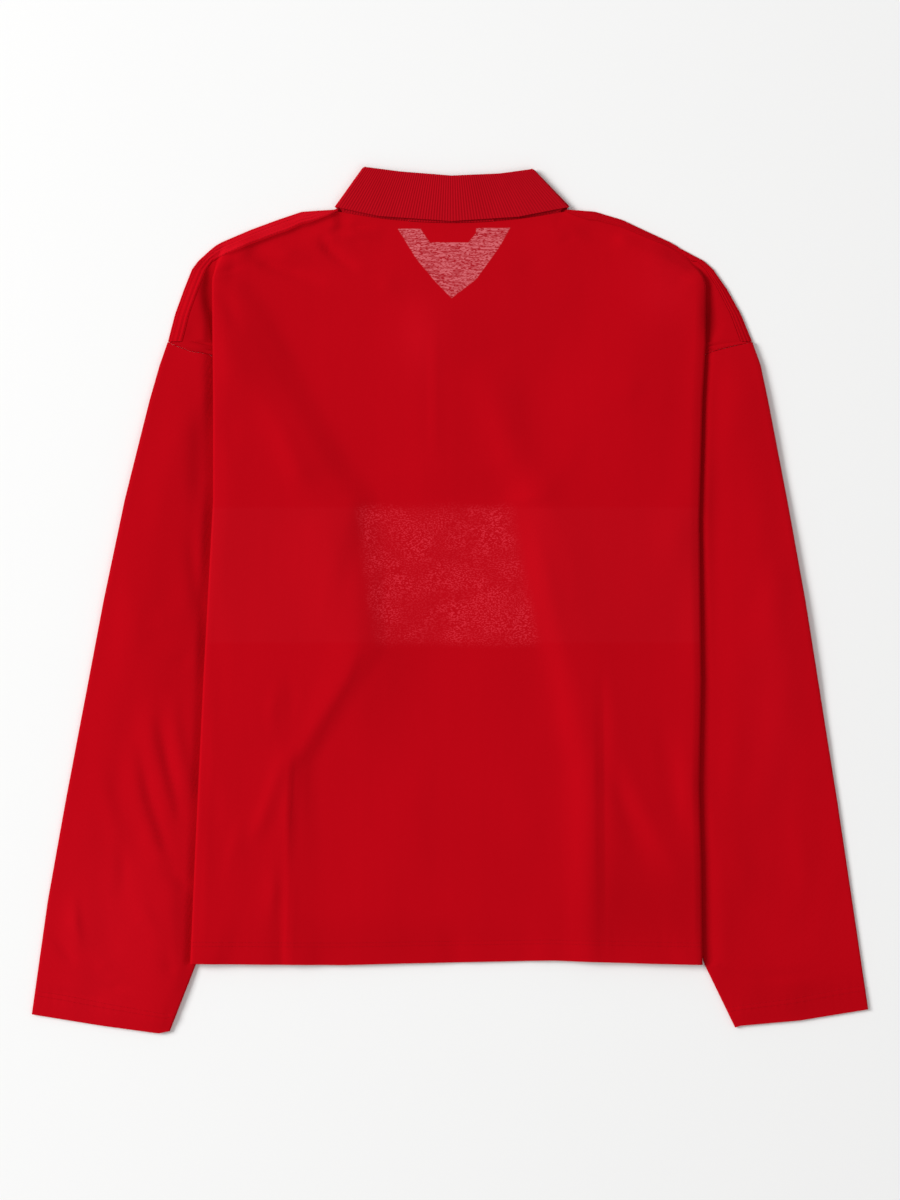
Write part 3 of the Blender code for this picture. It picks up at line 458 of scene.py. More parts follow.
def pleatDrop(side, level):
    turn, _ = pleatAt(side, level)
    if turn > shut:
        return 4 * cloth["pitch"]
    middles = [turn * (k + 0.5) / cloth["bend"] for k in range(cloth["bend"])]
    return 2 * bendChord(turn) * sum(math.sin(m) for m in middles) + cloth["pitch"] * math.sin(turn)


def sleeveRise(side, q, level):
    under = edgeQ(side["sleeveInner"], level)
    return 2 * cloth["pitch"] * ease((q - under + body["sleeveMargin"] + body["sleeveStep"]) / body["sleeveStep"])


def topHeight(side, q, level):
    width, margin = (readTable(side[key], level) for key in ("stepWidth", "stepMargin"))
    if level >= body["armpit"]:
        fold = min(hiddenFold(side, level), pleatAt(side, level)[1] - 3.0)
        reach = ease((q - fold + margin + width) / width)
        return floorPair + pleatDrop(side, level) * reach
    flap = edgeQ(side["flapEnd"], level)
    on = 2 * cloth["pitch"] * ease((q - flap + margin + width) / width)
    return floorPair + on + sleeveRise(side, q, level)


def bodyPath(side, level):
    turn, foldQ = pleatAt(side, level)
    if level <= body["armpit"]:
        anchor = float(edgeQ(side["flapEnd"], level))
    else:
        share = (level - body["armpit"]) / (body["topRow"] - body["armpit"])
        anchor = between(side["flapEnd"][-1][0], body["neckQ"], share)
    cells, bend, half = body["columns"], cloth["bend"], placketShape["half"]
    q = np.concatenate([np.linspace(0, half, cells["placket"] + 1),
                        np.linspace(half, anchor, cells["inner"] + 1)[1:],
                        np.linspace(anchor, foldQ, cells["outer"] + 1)[1:]])
    z = topHeight(side, q, level)
    heading = -np.arctan((topHeight(side, q + 1, level) - topHeight(side, q - 1, level)) / 2)
    heading[-1] = 0.0
    path = [(a, b, c, 1.0) for a, b, c in zip(q, z, heading)]  # q, z, heading, share of the relief

    def step(angle, length, after, share):
        path.append((path[-1][0] + length * math.cos(angle), path[-1][1] - length * math.sin(angle),
                     after, share))

    for k in range(bend):
        step(turn * (k + 0.5) / bend, bendChord(turn), turn * (k + 1) / bend, 1 - (k + 1) / bend)
    if level < body["armpit"]:
        topZ, start = path[-1][1], float(sleeveRise(side, foldQ, level))
        for a in np.linspace(foldQ, anchor, cells["hidden"] + 1)[1:]:
            rise = float(sleeveRise(side, a, level))
            tilt = math.atan(float(sleeveRise(side, a + 1, level) - sleeveRise(side, a - 1, level)) / 2)
            path.append((a, topZ - start + rise, math.pi - tilt, 0.0))
        return np.array(path)
    length = max(cloth["pitch"], foldQ - float(hiddenFold(side, level))) if turn > shut else cloth["pitch"]
    for _ in range(cells["hidden"]):
        step(turn, length / cells["hidden"], turn, 0.0)
    for k in range(bend):
        step(turn * (bend - k - 0.5) / bend, bendChord(turn), turn * (bend - k - 1) / bend, 0.0)
    startQ, startZ = path[-1][0], path[-1][1]
    if level >= body["tip"]:
        endQ = float(edgeQ(side["outline"], level))
        nearQ = endQ - float(edgeY(side["strip"], endQ)) * body["stripWide"]
        if level > body["seamRow"]:
            t = (level - body["seamRow"]) / (body["topRow"] - body["seamRow"])
            nearQ = between(nearQ, (startQ + endQ) / 2, t)
    else:
        endQ = max(float(edgeQ(side["armhole"], level)), startQ + body["leastShoulder"])
        nearQ = between(startQ, endQ, 0.66)
    for low, high, count in ((startQ, nearQ, cells["shoulder"]), (nearQ, endQ, cells["strip"])):
        for a in np.linspace(low, high, count + 1)[1:]:
            path.append((a, startZ, 0.0, -1.0))  # -1: this part follows the sleeve's relief
    return np.array(path)


def levelRows():
    rows = [body["keyLevels"][0][0]]
    for level, count in body["keyLevels"][1:]:
        rows += list(np.linspace(rows[-1], level, count + 1)[1:])
    return np.round(np.array(rows, float), 4)


levels = levelRows()
neckLimit = body["neckQ"] - 1.0  # nearer to the centre than this a row's end is the neckline
cells = body["columns"]
neckColumn = cells["placket"] + cells["inner"]
foldColumn = neckColumn + cells["outer"]
flapColumn = foldColumn + cloth["bend"] + cells["hidden"]
nearColumn = flapColumn + cloth["bend"] + cells["shoulder"]
lastColumn = nearColumn + cells["strip"]


def rowAt(level):
    return int(np.argmin(abs(levels - level)))


armpitRow, tipRow, seamRow = (rowAt(body[key]) for key in ("armpit", "tip", "seamRow"))
topRow, placketRow = len(levels) - 1, rowAt(placketShape["bottom"])


def neckline(panel, q):
    if panel == "back":
        return between(*body["backNeck"], (q / body["neckQ"]) ** 2)
    return edgeY(body["frontNeck"], q)


def seamLine(panel, side, q):
    inner = neckline(panel, q) - (0.0 if panel == "back" else body["frontSeamDrop"])
    outer = np.maximum(edgeY(side["outline"], q) - edgeY(side["strip"], q) * body["stripHigh"], body["seamRow"])
    return np.where(q < neckLimit, inner, outer)


def rowHeight(panel, side, level, q):
    if level <= body["blend"]:
        return level + readTable(body["hemRise"], side["sign"] * q) * max(0.0, 1 - (level - body["hem"]) / 60)
    seam = seamLine(panel, side, q)
    if level <= body["seamRow"]:
        return between(body["blend"], seam, (level - body["blend"]) / (body["seamRow"] - body["blend"]))
    top = np.where(q < neckLimit, neckline(panel, q), edgeY(side["outline"], q))
    return between(seam, top, (level - body["seamRow"]) / (body["topRow"] - body["seamRow"]))


# The middle surface of one body panel, as arrays over row and column for each side
def panelGrid(panel):
    offset = cloth["pitch"] / 2 if panel == "back" else -cloth["pitch"] / 2
    grids = {}
    for name, side in sides.items():
        points = np.full((len(levels), lastColumn + 1, 3), np.nan)
        lengths = np.zeros((len(levels), lastColumn + 1))
        for row, level in enumerate(levels):
            path = bodyPath(side, level)
            q, z, heading, share = path.T
            y = rowHeight(panel, side, level, q)
            if len(q) > nearColumn and level > body["tip"]:
                y[nearColumn:] = np.linspace(y[nearColumn], level, cells["strip"] + 1)
            q = q + offset * np.sin(heading)
            z = z + offset * np.cos(heading)
            x = body["centreX"] + side["sign"] * q
            off = creases(frontFolds, x, y) * (share > 0.99)
            if panel == "back":
                foldQ, foldZ = path[foldColumn, :2]
                stand = backStand(name, level, q, y, path[:, 1], foldQ, foldZ) + off
                stand = stand + np.maximum(hemForm(x, y - body["hem"], "body"), -0.05)
                z = z + np.where(share > 0, ease(share) * stand, 0.0)
                z = z + np.where(share < 0, sleeveRelief(side, q, y), 0.0)
            else:
                z = z + frontLift(side, q, y) + off
            points[row, : len(q)] = np.stack([x, y, z], axis=1)
            lengths[row, : len(q)] = lengthsAlong(np.stack([q, z], axis=1))
        grids[name] = (points, lengths)
    return grids


surfaces = {}  # each cloth's middle points and normals by key, and half its thickness


def newPiece(name, data):
    piece = bpy.data.objects.new(name, data)
    bpy.context.scene.collection.objects.link(piece)
    return piece


# Puts the mesh that a piece's modifiers make in place of the one before
def settle(piece):
    graph = bpy.context.evaluated_depsgraph_get()
    before, made = piece.data, bpy.data.meshes.new_from_object(
        piece.evaluated_get(graph), preserve_all_data_layers=True, depsgraph=graph)
    piece.modifiers.clear()
    piece.data = made
    bpy.data.meshes.remove(before)
    made.name = piece.name
    return piece


# Faces of a grid of keys (row, column); a closed one joins its last column to its first
def gridFaces(rows, columns, closed=False, turned=False):
    faces = []
    for row in range(rows - 1):
        for column in range(columns if closed else columns - 1):
            after = (column + 1) % columns
            face = [(row, column), (row, after), (row + 1, after), (row + 1, column)]
            faces.append(face[::-1] if turned else face)
    return faces


# A closed cloth from its middle surface. Faces are lists of keys into points; flat gives each key its
# place on the flat cut, which the knit follows.
def clothWall(name, points, faces, thick, flat, finish):
    keys = list(dict.fromkeys(key for face in faces for key in face))
    index = {key: k for k, key in enumerate(keys)}
    seats = np.array([points[key] for key in keys], float) - (0, body["centreY"], 0)
    corners = [[index[key] for k, key in enumerate(face) if key != face[k - 1]] for face in faces]
    corners = [face for face in corners if len(face) > 2]
    normals = np.zeros_like(seats)
    for face in corners:
        a, b, c = seats[face[0]], seats[face[len(face) // 2]], seats[face[-1]]
        normals[face] += np.cross(b - a, c - a) if len(face) == 3 else np.cross(
            seats[face[2]] - seats[face[0]], seats[face[3]] - seats[face[1]])
    normals /= np.maximum(np.linalg.norm(normals, axis=1), 1e-9)[:, None]
    half, count = thick / 2, len(keys)
    verts = np.concatenate([seats + normals * half, seats - normals * half]) * mm
    edges = {}
    for face in corners:
        for a, b in zip(face, face[1:] + face[:1]):
            edges.setdefault((min(a, b), max(a, b)), []).append((a, b))
    built = [list(face) for face in corners] + [[k + count for k in reversed(face)] for face in corners]
    built += [[b, a, a + count, b + count] for ends in edges.values() if len(ends) == 1 for a, b in ends]
    surfaces[name] = (dict(zip(keys, seats)), dict(zip(keys, normals)), half)
    mesh = bpy.data.meshes.new(name)
    mesh.from_pydata([tuple(v) for v in verts], [], built)
    work = bmesh.new()
    work.from_mesh(mesh)
    bmesh.ops.recalc_face_normals(work, faces=work.faces)
    layer = work.loops.layers.uv.new("flatCut")
    cut = [flat[key] for key in keys] * 2
    for face in work.faces:
        for loop in face.loops:
            loop[layer].uv = cut[loop.vert.index]
    work.to_mesh(mesh)
    work.free()
    mesh.materials.append(finish)
    mesh.shade_smooth()
    mesh.set_sharp_from_angle(angle=math.radians(50))
    return newPiece(name, mesh)


# Points on a cloth's face, for what is sewn on it: outward is 1 or -1
def onFace(piece, keys, outward, rise=0.06):
    seats, normals, half = surfaces[piece.name]
    return [seats[key] + normals[key] * outward * (half + rise) for key in keys]


# Materials


def newMaterial(name):
    made = bpy.data.materials.new(name)
    made.use_nodes = True
    return made, made.node_tree, made.node_tree.nodes["Principled BSDF"]


def mathNode(tree, operation, *values, clamp=False):
    node = tree.nodes.new("ShaderNodeMath")
    node.operation = operation
    node.use_clamp = clamp
    for k, value in enumerate(values):
        if isinstance(value, (int, float)):
            node.inputs[k].default_value = value
        else:
            tree.links.new(value, node.inputs[k])
    return node.outputs[0]


def product(tree, first, *others):
    for value in others:
        first = mathNode(tree, "MULTIPLY", first, value)
    return first


def scaled(tree, value, by, plus, clamp=False):
    return mathNode(tree, "MULTIPLY_ADD", value, by, plus, clamp=clamp)


def parts(tree, vector):
    apart = tree.nodes.new("ShaderNodeSeparateXYZ")
    tree.links.new(vector, apart.inputs[0])
    return apart.outputs


def objectPlace(tree):
    return tree.nodes.new("ShaderNodeTexCoord").outputs["Object"]


def cutPlace(tree):
    uv = tree.nodes.new("ShaderNodeUVMap")
    uv.uv_map = "flatCut"
    return parts(tree, uv.outputs[0])


def mixColour(tree, share, first, second):
    node = tree.nodes.new("ShaderNodeMix")
    node.data_type = "RGBA"
    for socket, value in ((node.inputs[0], share), (node.inputs[6], first), (node.inputs[7], second)):
        if isinstance(value, tuple):
            socket.default_value = (*value, 1.0)
        elif isinstance(value, (int, float)):
            socket.default_value = value
        else:
            tree.links.new(value, socket)
    return node.outputs[2]


# Joins a finish's colour, roughness and relief to its shader, with the sheen and the shine of its look
def finishSurface(tree, shader, colour, rough, height, look):
    tree.links.new(colour, shader.inputs["Base Color"])
    tree.links.new(rough, shader.inputs["Roughness"])
    shader.inputs["Specular IOR Level"].default_value = look["shine"]
    if "sheen" in look:
        shader.inputs["Sheen Weight"].default_value, shader.inputs["Sheen Roughness"].default_value = look["sheen"]
        shader.inputs["Sheen Tint"].default_value = (*sheenTint, 1.0)
    bump = tree.nodes.new("ShaderNodeBump")
    bump.inputs["Strength"].default_value, bump.inputs["Distance"].default_value = look["bump"]
    tree.links.new(height, bump.inputs["Height"])
    tree.links.new(bump.outputs[0], shader.inputs["Normal"])


def noise(tree, where, scale, stretch=(1, 1, 1), detail=3.0):
    mapping = tree.nodes.new("ShaderNodeMapping")
    mapping.inputs["Scale"].default_value = stretch
    tree.links.new(where, mapping.inputs["Vector"])
    node = tree.nodes.new("ShaderNodeTexNoise")
    node.inputs["Scale"].default_value = scale
    node.inputs["Detail"].default_value = detail
    tree.links.new(mapping.outputs[0], node.inputs["Vector"])
    return node.outputs["Fac"]


def ramp(tree, value, low, high, fromLow=0.0, toHigh=1.0):
    node = tree.nodes.new("ShaderNodeMapRange")
    node.interpolation_type = "SMOOTHSTEP"
    for key, number in (("From Min", low), ("From Max", high), ("To Min", fromLow), ("To Max", toHigh)):
        node.inputs[key].default_value = number
    tree.links.new(value, node.inputs["Value"])
    return node.outputs["Result"]


# 1 inside a convex outline given in millimetres, with soft edges
def zone(tree, x, y, corners, soft):
    inside = []
    for a, outward in outlineEdges(corners):
        far = scaled(tree, x, float(-outward[0]), float(np.dot(outward, a)) * mm)
        far = scaled(tree, y, float(-outward[1]), far)
        inside.append(ramp(tree, far, -soft * mm, soft * mm))
    return product(tree, *inside)


# Single jersey: columns of small V stitches, a wale apart
def knitHeight(tree, wale, course):
    cut = cutPlace(tree)
    across = mathNode(tree, "FRACT", mathNode(tree, "DIVIDE", cut[0], wale * mm))
    lean = mathNode(tree, "ABSOLUTE", scaled(tree, across, 2.0, -1.0))
    rows = mathNode(tree, "DIVIDE", cut[1], course * mm)
    vees = mathNode(tree, "SINE", product(tree, mathNode(tree, "ADD", rows, lean), math.pi))
    crown = mathNode(tree, "SUBTRACT", 1.0, product(tree, lean, lean))
    return scaled(tree, mathNode(tree, "ABSOLUTE", vees), 0.35, crown)


sheenTint = (1.0, 0.02, 0.04)
jerseyLook = {
    "red": (0.510, 0.0012, 0.0068),
    "deep": (0.430, 0.0008, 0.0048),
    "wale": 0.95, "course": 0.75,
    "rough": 0.9, "shine": 0.03, "sheen": (0.10, 0.45),  # the sheen's weight and roughness
    "bump": (0.5, 0.00025), "knitBump": 0.35, "fuzzBump": 0.25,
    # where only one layer covers the pale ground: the open neck, cut by the label and the tape
    "neckOpening": [(-47.8, 340.9), (-31.3, 313.7), (-14.7, 293.5), (1.4, 277.0), (23.9, 294.4), (45.1, 323.8),
                    (55.2, 341.8)],
    "label": [(-26.7, 340.0), (-18.4, 328.4), (16.6, 328.2), (24.0, 337.0), (24.0, 350.0), (-26.7, 350.0)],
    "pale": (0.67, 0.135, 0.155),
    "betweenPale": (0.38, 0.016, 0.026),
    # where the chest band of the front shows through both layers
    "band": [(-84.0, 84.6), (57.0, 84.6), (79.0, -39.0), (-68.0, -39.0)],
    "bandPale": (0.68, 0.024, 0.042),
    "bandEnds": [(-222, 84.6), (230, 84.6), (230, -39.0), (-222, -39.0)],
    "chest": [(-300, 84.6), (300, 84.6), (300, -39.0), (-300, -39.0)],
    "chestColour": (0.66, 0.16, 0.17),
}


# The unevenness of what shows through and of the chest band: the noise's scale, stretch and detail, then its ramp
speckles = {
    "flecks": (1000.0, (0.4, 1.1, 1.0), 1.0, (0.36, 0.56)),
    "rows": (480.0, (0.22, 1.2, 1.0), 1.0, (0.38, 0.56, 0.4, 1.15)),
    "specks": (1020.0, (0.6, 1.05, 1.0), 0.6, (0.49, 0.63)),
    "patches": (38.0, (1.0, 1.4, 1.0), 3.0, (0.38, 0.62, 0.3, 1.0)),
    "worn": (420.0, (1.0, 0.6, 1.0), 3.0, (0.30, 0.55, 0.62, 1.0)),
}


def speckle(tree, place, name):
    scale, stretch, detail, limits = speckles[name]
    return ramp(tree, noise(tree, place, scale, stretch, detail), *limits)


# The pale ground shows through the back where nothing else lies under it
def showThrough(tree, place, x, y, colour):
    opening = zone(tree, x, y, jerseyLook["neckOpening"], 0.5)
    covered = zone(tree, x, y, jerseyLook["label"], 0.5)
    opening = product(tree, opening, mathNode(tree, "SUBTRACT", 1.0, covered))
    flecks, rows, specks, patches = (speckle(tree, place, name) for name in ("flecks", "rows", "specks", "patches"))
    thin = product(tree, flecks, rows, opening)
    colour = mixColour(tree, product(tree, opening, 0.7), colour, jerseyLook["betweenPale"])
    colour = mixColour(tree, thin, colour, jerseyLook["pale"])
    band = zone(tree, x, y, jerseyLook["band"], 7.0)
    ends = zone(tree, x, y, jerseyLook["bandEnds"], 2.5)
    for share in (product(tree, ends, 0.035), product(tree, band, 0.03), product(tree, specks, patches, band, 0.85)):
        colour = mixColour(tree, share, colour, jerseyLook["bandPale"])
    return colour


# A plain paler band across the chest, on the face that lies down
def chestBand(tree, place, x, y, colour):
    facing = parts(tree, tree.nodes.new("ShaderNodeNewGeometry").outputs["Normal"])
    downward = ramp(tree, product(tree, facing[2], -1.0), 0.2, 0.6)
    band = product(tree, zone(tree, x, y, jerseyLook["chest"], 0.6), downward)
    return mixColour(tree, product(tree, band, speckle(tree, place, "worn")), colour, jerseyLook["chestColour"])


# Soft patches that are deeper or, below zero, brighter than the rest: x, y, half width, half height, amount. Most are
# painted shade and painted light, set where the relief's own shading fell short; the rest are plain darker and lighter
# patches
shadeAndToneSpots = {
    # painted shade in the crevices at both shoulders and across the upper left, painted shadow beside the right side
    # fold, and plain darker and lighter patches elsewhere
    "backJersey": [(184, -278, 60, 50, 0.34), (-198, 228, 28, 44, 0.17), (-160, 190, 26, 38, 0.14),
                   (-122, 122, 24, 36, 0.10), (-188, 120, 24, 40, 0.06), (-60, -320, 60, 22, 0.10),
                   (268, 290, 24, 44, 0.30), (-238, 254, 16, 28, 0.32), (196, 286, 30, 34, -0.12),
                   (-30, 240, 22, 36, -0.12), (-225, 284, 5, 26, 0.9), (238, 256, 7, 18, 0.7)],
    # painted highlight along the left shoulder's rolled strip
    "frontJersey": [(-208, 322, 26, 12, -0.4), (-168, 341, 30, 12, -0.4), (-126, 354, 26, 8, -0.4)],
    # painted shade on the left upper arm, painted light on the left forearm, painted shadow beside the body's right
    # edge, and plain patches at the cuffs and the right elbow
    "sleeveJersey": [(-320, -300, 70, 90, -0.16), (-340, -372, 60, 26, -0.08), (330, -366, 90, 26, 0.26),
                     (-262, 90, 44, 150, 0.18), (262, -240, 26, 80, 0.12), (300, -80, 30, 120, -0.08),
                     (236, 120, 9, 120, 0.35)],
}
shadeAndToneColours = {"deeper": (0.33, 0.0006, 0.0036), "brighter": (0.66, 0.006, 0.018)}


# Mixes the patches into the colour: painted shade and light, and plain tone
def paintShadeAndTone(tree, x, y, spots, colour):
    for which, sign in (("deeper", 1), ("brighter", -1)):
        total = 0.0
        for a, b, wide, high, amount in (spot for spot in spots if spot[4] * sign > 0):
            dx = scaled(tree, x, 1 / (wide * mm), -a / wide)
            dy = scaled(tree, y, 1 / (high * mm), -b / high)
            far = scaled(tree, dy, dy, product(tree, dx, dx))
            near = mathNode(tree, "EXPONENT", product(tree, far, -1.0))
            total = scaled(tree, near, amount * sign, total)
        if total != 0.0:
            colour = mixColour(tree, total, colour, shadeAndToneColours[which])
    return colour


def jerseyMaterial(name, over=None):
    made, tree, shader = newMaterial(name)
    place = objectPlace(tree)
    knit = knitHeight(tree, jerseyLook["wale"], jerseyLook["course"])
    broad = noise(tree, place, 9.0, detail=2.0)
    streaks = noise(tree, place, 60.0, (3.0, 0.35, 1.0), 2.0)
    fine = noise(tree, place, 900.0, (1.0, 0.5, 1.0), 2.0)
    # the knit's height makes its crowns a little lighter than its hollows: painted shade; the noises are the yarn's
    # uneven tone
    share = 0.02
    for field, amount in ((broad, 0.34), (streaks, 0.18), (fine, 0.22), (knit, -0.12)):
        share = scaled(tree, field, amount, share, clamp=field is knit)
    colour = mixColour(tree, share, jerseyLook["red"], jerseyLook["deep"])
    x, y, _ = parts(tree, place)
    y = mathNode(tree, "ADD", y, body["centreY"] * mm)
    colour = paintShadeAndTone(tree, x, y, shadeAndToneSpots.get(name, []), colour)
    if over:
        colour = over(tree, place, x, y, colour)
    rough = scaled(tree, fine, 0.10, jerseyLook["rough"] - 0.05)
    height = scaled(tree, fine, jerseyLook["fuzzBump"], product(tree, knit, jerseyLook["knitBump"]))
    finishSurface(tree, shader, colour, rough, height, jerseyLook)
    return made


ribLook = {"crest": (0.505, 0.0026, 0.0105), "valleyShade": (0.375, 0.0014, 0.0062), "course": 1.1, "rough": 0.88,
           "shine": 0.04, "sheen": (0.12, 0.5), "bump": (0.6, 0.0003)}


def ribMaterial(name):
    made, tree, shader = newMaterial(name)
    place, cut = objectPlace(tree), cutPlace(tree)
    turn = product(tree, cut[0], math.tau / (collarShape["rib"] * mm))
    wave = scaled(tree, mathNode(tree, "SINE", turn), 0.5, 0.5)
    loops = mathNode(tree, "SINE", product(tree, cut[1], math.tau / (ribLook["course"] * mm)))
    fine = noise(tree, place, 700.0, detail=2.0)
    uneven = noise(tree, place, 55.0, (1.0, 0.3, 1.0), 3.0)
    # deeper in the ribs' valleys and lighter on their crests, with the bump's wave: painted shade, over the noises'
    # uneven tone
    share = scaled(tree, wave, 0.62, scaled(tree, fine, 0.35, -0.12))
    share = scaled(tree, uneven, 0.55, mathNode(tree, "ADD", share, -0.22), clamp=True)
    colour = mixColour(tree, share, ribLook["valleyShade"], ribLook["crest"])
    rough = scaled(tree, fine, 0.1, ribLook["rough"] - 0.05)
    height = scaled(tree, loops, 0.25, scaled(tree, fine, 0.5, wave))
    finishSurface(tree, shader, colour, rough, height, ribLook)
    return made


# Twill tape, woven label, sewing thread and the buttons' resin
plainLooks = {
    "tapeTwill": {"light": (0.40, 0.005, 0.010), "dark": (0.27, 0.003, 0.007), "across": 1400.0, "lean": 1.0,
                  "rough": 0.84, "shine": 0.1, "bump": (0.5, 0.00015)},
    "labelWeave": {"light": (0.36, 0.004, 0.010), "dark": (0.26, 0.0025, 0.007), "across": 2200.0, "lean": 0.0,
                   "rough": 0.7, "shine": 0.15, "bump": (0.5, 0.00008)},
    "sewingThread": {"light": (0.53, 0.002, 0.009), "dark": (0.37, 0.001, 0.006), "across": 3200.0, "lean": 1.4,
                     "rough": 0.7, "shine": 0.05, "bump": (0.5, 0.00006)},
    "buttonResin": {"light": (0.36, 0.005, 0.012), "dark": (0.24, 0.003, 0.008), "across": 120.0, "lean": 0.4,
                    "rough": 0.28, "shine": 0.5, "bump": (0.5, 0.00001)},
}


def plainMaterial(name):
    look = plainLooks[name]
    made, tree, shader = newMaterial(name)
    place = objectPlace(tree)
    x, y, _ = parts(tree, place)
    # lighter where the wave stands high in the bump and darker where it sinks: painted shade in the grooves, over the
    # mottling's uneven tone
    wave = mathNode(tree, "SINE", product(tree, scaled(tree, y, look["lean"], x), look["across"] * 2))
    mottled = noise(tree, place, 420.0, detail=3.0)
    colour = mixColour(tree, scaled(tree, wave, 0.25, mottled, clamp=True), look["dark"], look["light"])
    finishSurface(tree, shader, colour, scaled(tree, mottled, 0.12, look["rough"] - 0.06), wave, look)
    return made


backKnit = jerseyMaterial("backJersey", showThrough)
frontKnit = jerseyMaterial("frontJersey", chestBand)
sleeveKnit = jerseyMaterial("sleeveJersey")
ribKnit = ribMaterial("collarRib")
tapeTwill, labelWeave, sewingThread, buttonResin = (plainMaterial(name) for name in plainLooks)
print("materials made")


# The two body panels


def panelKeys(grids):
    points, flat = {}, {}
    for name, (grid, lengths) in grids.items():
        for row, level in enumerate(levels):
            for column in range(lastColumn + 1):
                if np.isnan(grid[row, column, 0]):
                    continue
                key = (row, name, column) if column else (row, "centre", 0)
                points[key] = grid[row, column]
                flat[key] = (sides[name]["sign"] * lengths[row, column] * mm, level * mm)
    return points, flat


def panelFaces(points, holds):
    faces = []
    for name in sides:
        for row in range(topRow):
            for column in range(lastColumn):
                if not holds(row, column) or (row < armpitRow and column >= flapColumn):
                    continue
                keys = [(row, name, column), (row, name, column + 1), (row + 1, name, column + 1),
                        (row + 1, name, column)]
                keys = [key if key[2] else (key[0], "centre", 0) for key in keys]
                if all(key in points for key in keys):
                    faces.append(keys if name == "right" else keys[::-1])
    return faces


backPoints, backFlat = panelKeys(panelGrid("back"))
for name in sides:
    for column in range(nearColumn + 1, lastColumn + 1):
        backPoints[(tipRow, name, column)] = backPoints[(tipRow, name, column)] - (0, 0.5, 0)
backFaces = panelFaces(backPoints, lambda row, column: row < (tipRow if column >= nearColumn else seamRow))
backPanel = clothWall("backPanel", backPoints, backFaces, cloth["thick"], backFlat, backKnit)
print("back panel:", len(backPanel.data.polygons), "faces")


frontRoll = {"inset": 1.18, "reach": 0.675, "across": 24, "puff": 0.5, "rollShare": 0.22, "flatStep": 0.9,
             "lines": (3, 0.42)}  # how many grooves the stitches draw in, and how deep


def frontPanelPoints():
    grids = panelGrid("front")
    for name, side in sides.items():
        points = grids[name][0]
        for row in range(seamRow + 1, topRow + 1):
            share = (levels[row] - levels[seamRow]) / (levels[topRow] - levels[seamRow])
            outside = points[row, :, 0] * side["sign"] > neckLimit
            points[row, outside, 1] -= frontRoll["inset"] * share
        for k in range(cells["strip"] + 1):
            rows = slice(tipRow, topRow + 1)
            points[rows, nearColumn + k, 0] -= side["sign"] * frontRoll["inset"] * k / cells["strip"]
    return panelKeys(grids)


frontPoints, frontFlat = frontPanelPoints()
frontFaces = panelFaces(frontPoints, lambda row, column: column >= cells["placket"] or row < placketRow)
stripLines = {}
for name, side in sides.items():
    chain = [(row, name, lastColumn) for row in range(tipRow, topRow + 1)]
    chain += [(topRow, name, column) for column in range(lastColumn - 1, neckColumn - 1, -1)]
    plan = [frontPoints[key].copy() for key in chain]
    lines = []
    for k, key in enumerate(chain):
        run = plan[min(k + 1, len(chain) - 1)] - plan[max(k - 1, 0)]
        out = np.array([run[1], -run[0], 0.0]) * side["sign"]
        out /= np.linalg.norm(out)
        seamKey = (min(key[0], seamRow), name, min(key[2], nearColumn))
        seam = backPoints[seamKey] + out * cloth["gap"]
        rise = max((seam[2] - plan[k][2]) * frontRoll["rollShare"], 2 * frontRoll["reach"]) / 2
        line = [key]
        for j in range(1, cloth["bend"] + 1):
            angle = math.pi * j / cloth["bend"]
            line.append(("roll", name, k, j))
            frontPoints[line[-1]] = plan[k] + out * frontRoll["reach"] * math.sin(angle) + (
                0, 0, rise * (1 - math.cos(angle)))
        start = frontPoints[line[-1]]
        for j in range(1, frontRoll["across"]):
            share = j / frontRoll["across"]
            count, deep = frontRoll["lines"]
            up = frontRoll["puff"] * math.sin(math.pi * share) - deep * math.cos(math.pi * count * share) ** 2
            line.append(("strip", name, k, j))
            frontPoints[line[-1]] = between(start, seam, share) + (0, 0, up)
        line.append(("seam", *seamKey))
        frontPoints[line[-1]] = seam
        for j, made in enumerate(line[1:], 1):
            frontFlat[made] = (frontFlat[key][0], frontFlat[key][1] + j * frontRoll["flatStep"] * mm)
        lines.append(line)
    stripLines[name] = lines
    for before, line in zip(lines, lines[1:]):
        for a, b, c, d in zip(before, before[1:], line, line[1:]):
            frontFaces.append([a, b, d, c] if name == "right" else [c, d, b, a])
frontPanel = clothWall("frontPanel", frontPoints, frontFaces, cloth["thick"], frontFlat, frontKnit)
print("front panel:", len(frontPanel.data.polygons), "faces")


# The sleeves, each a pressed tube

sleeveCells = {"across": 56, "upper": 92, "cuff": 42, "cuffStart": 0.8,
               "cuffCalm": (0.35, 16.0),  # the share of the creases left at the edge, and how far up they are whole
               "apart": 0.04}  # how far the first ring lies off the armhole


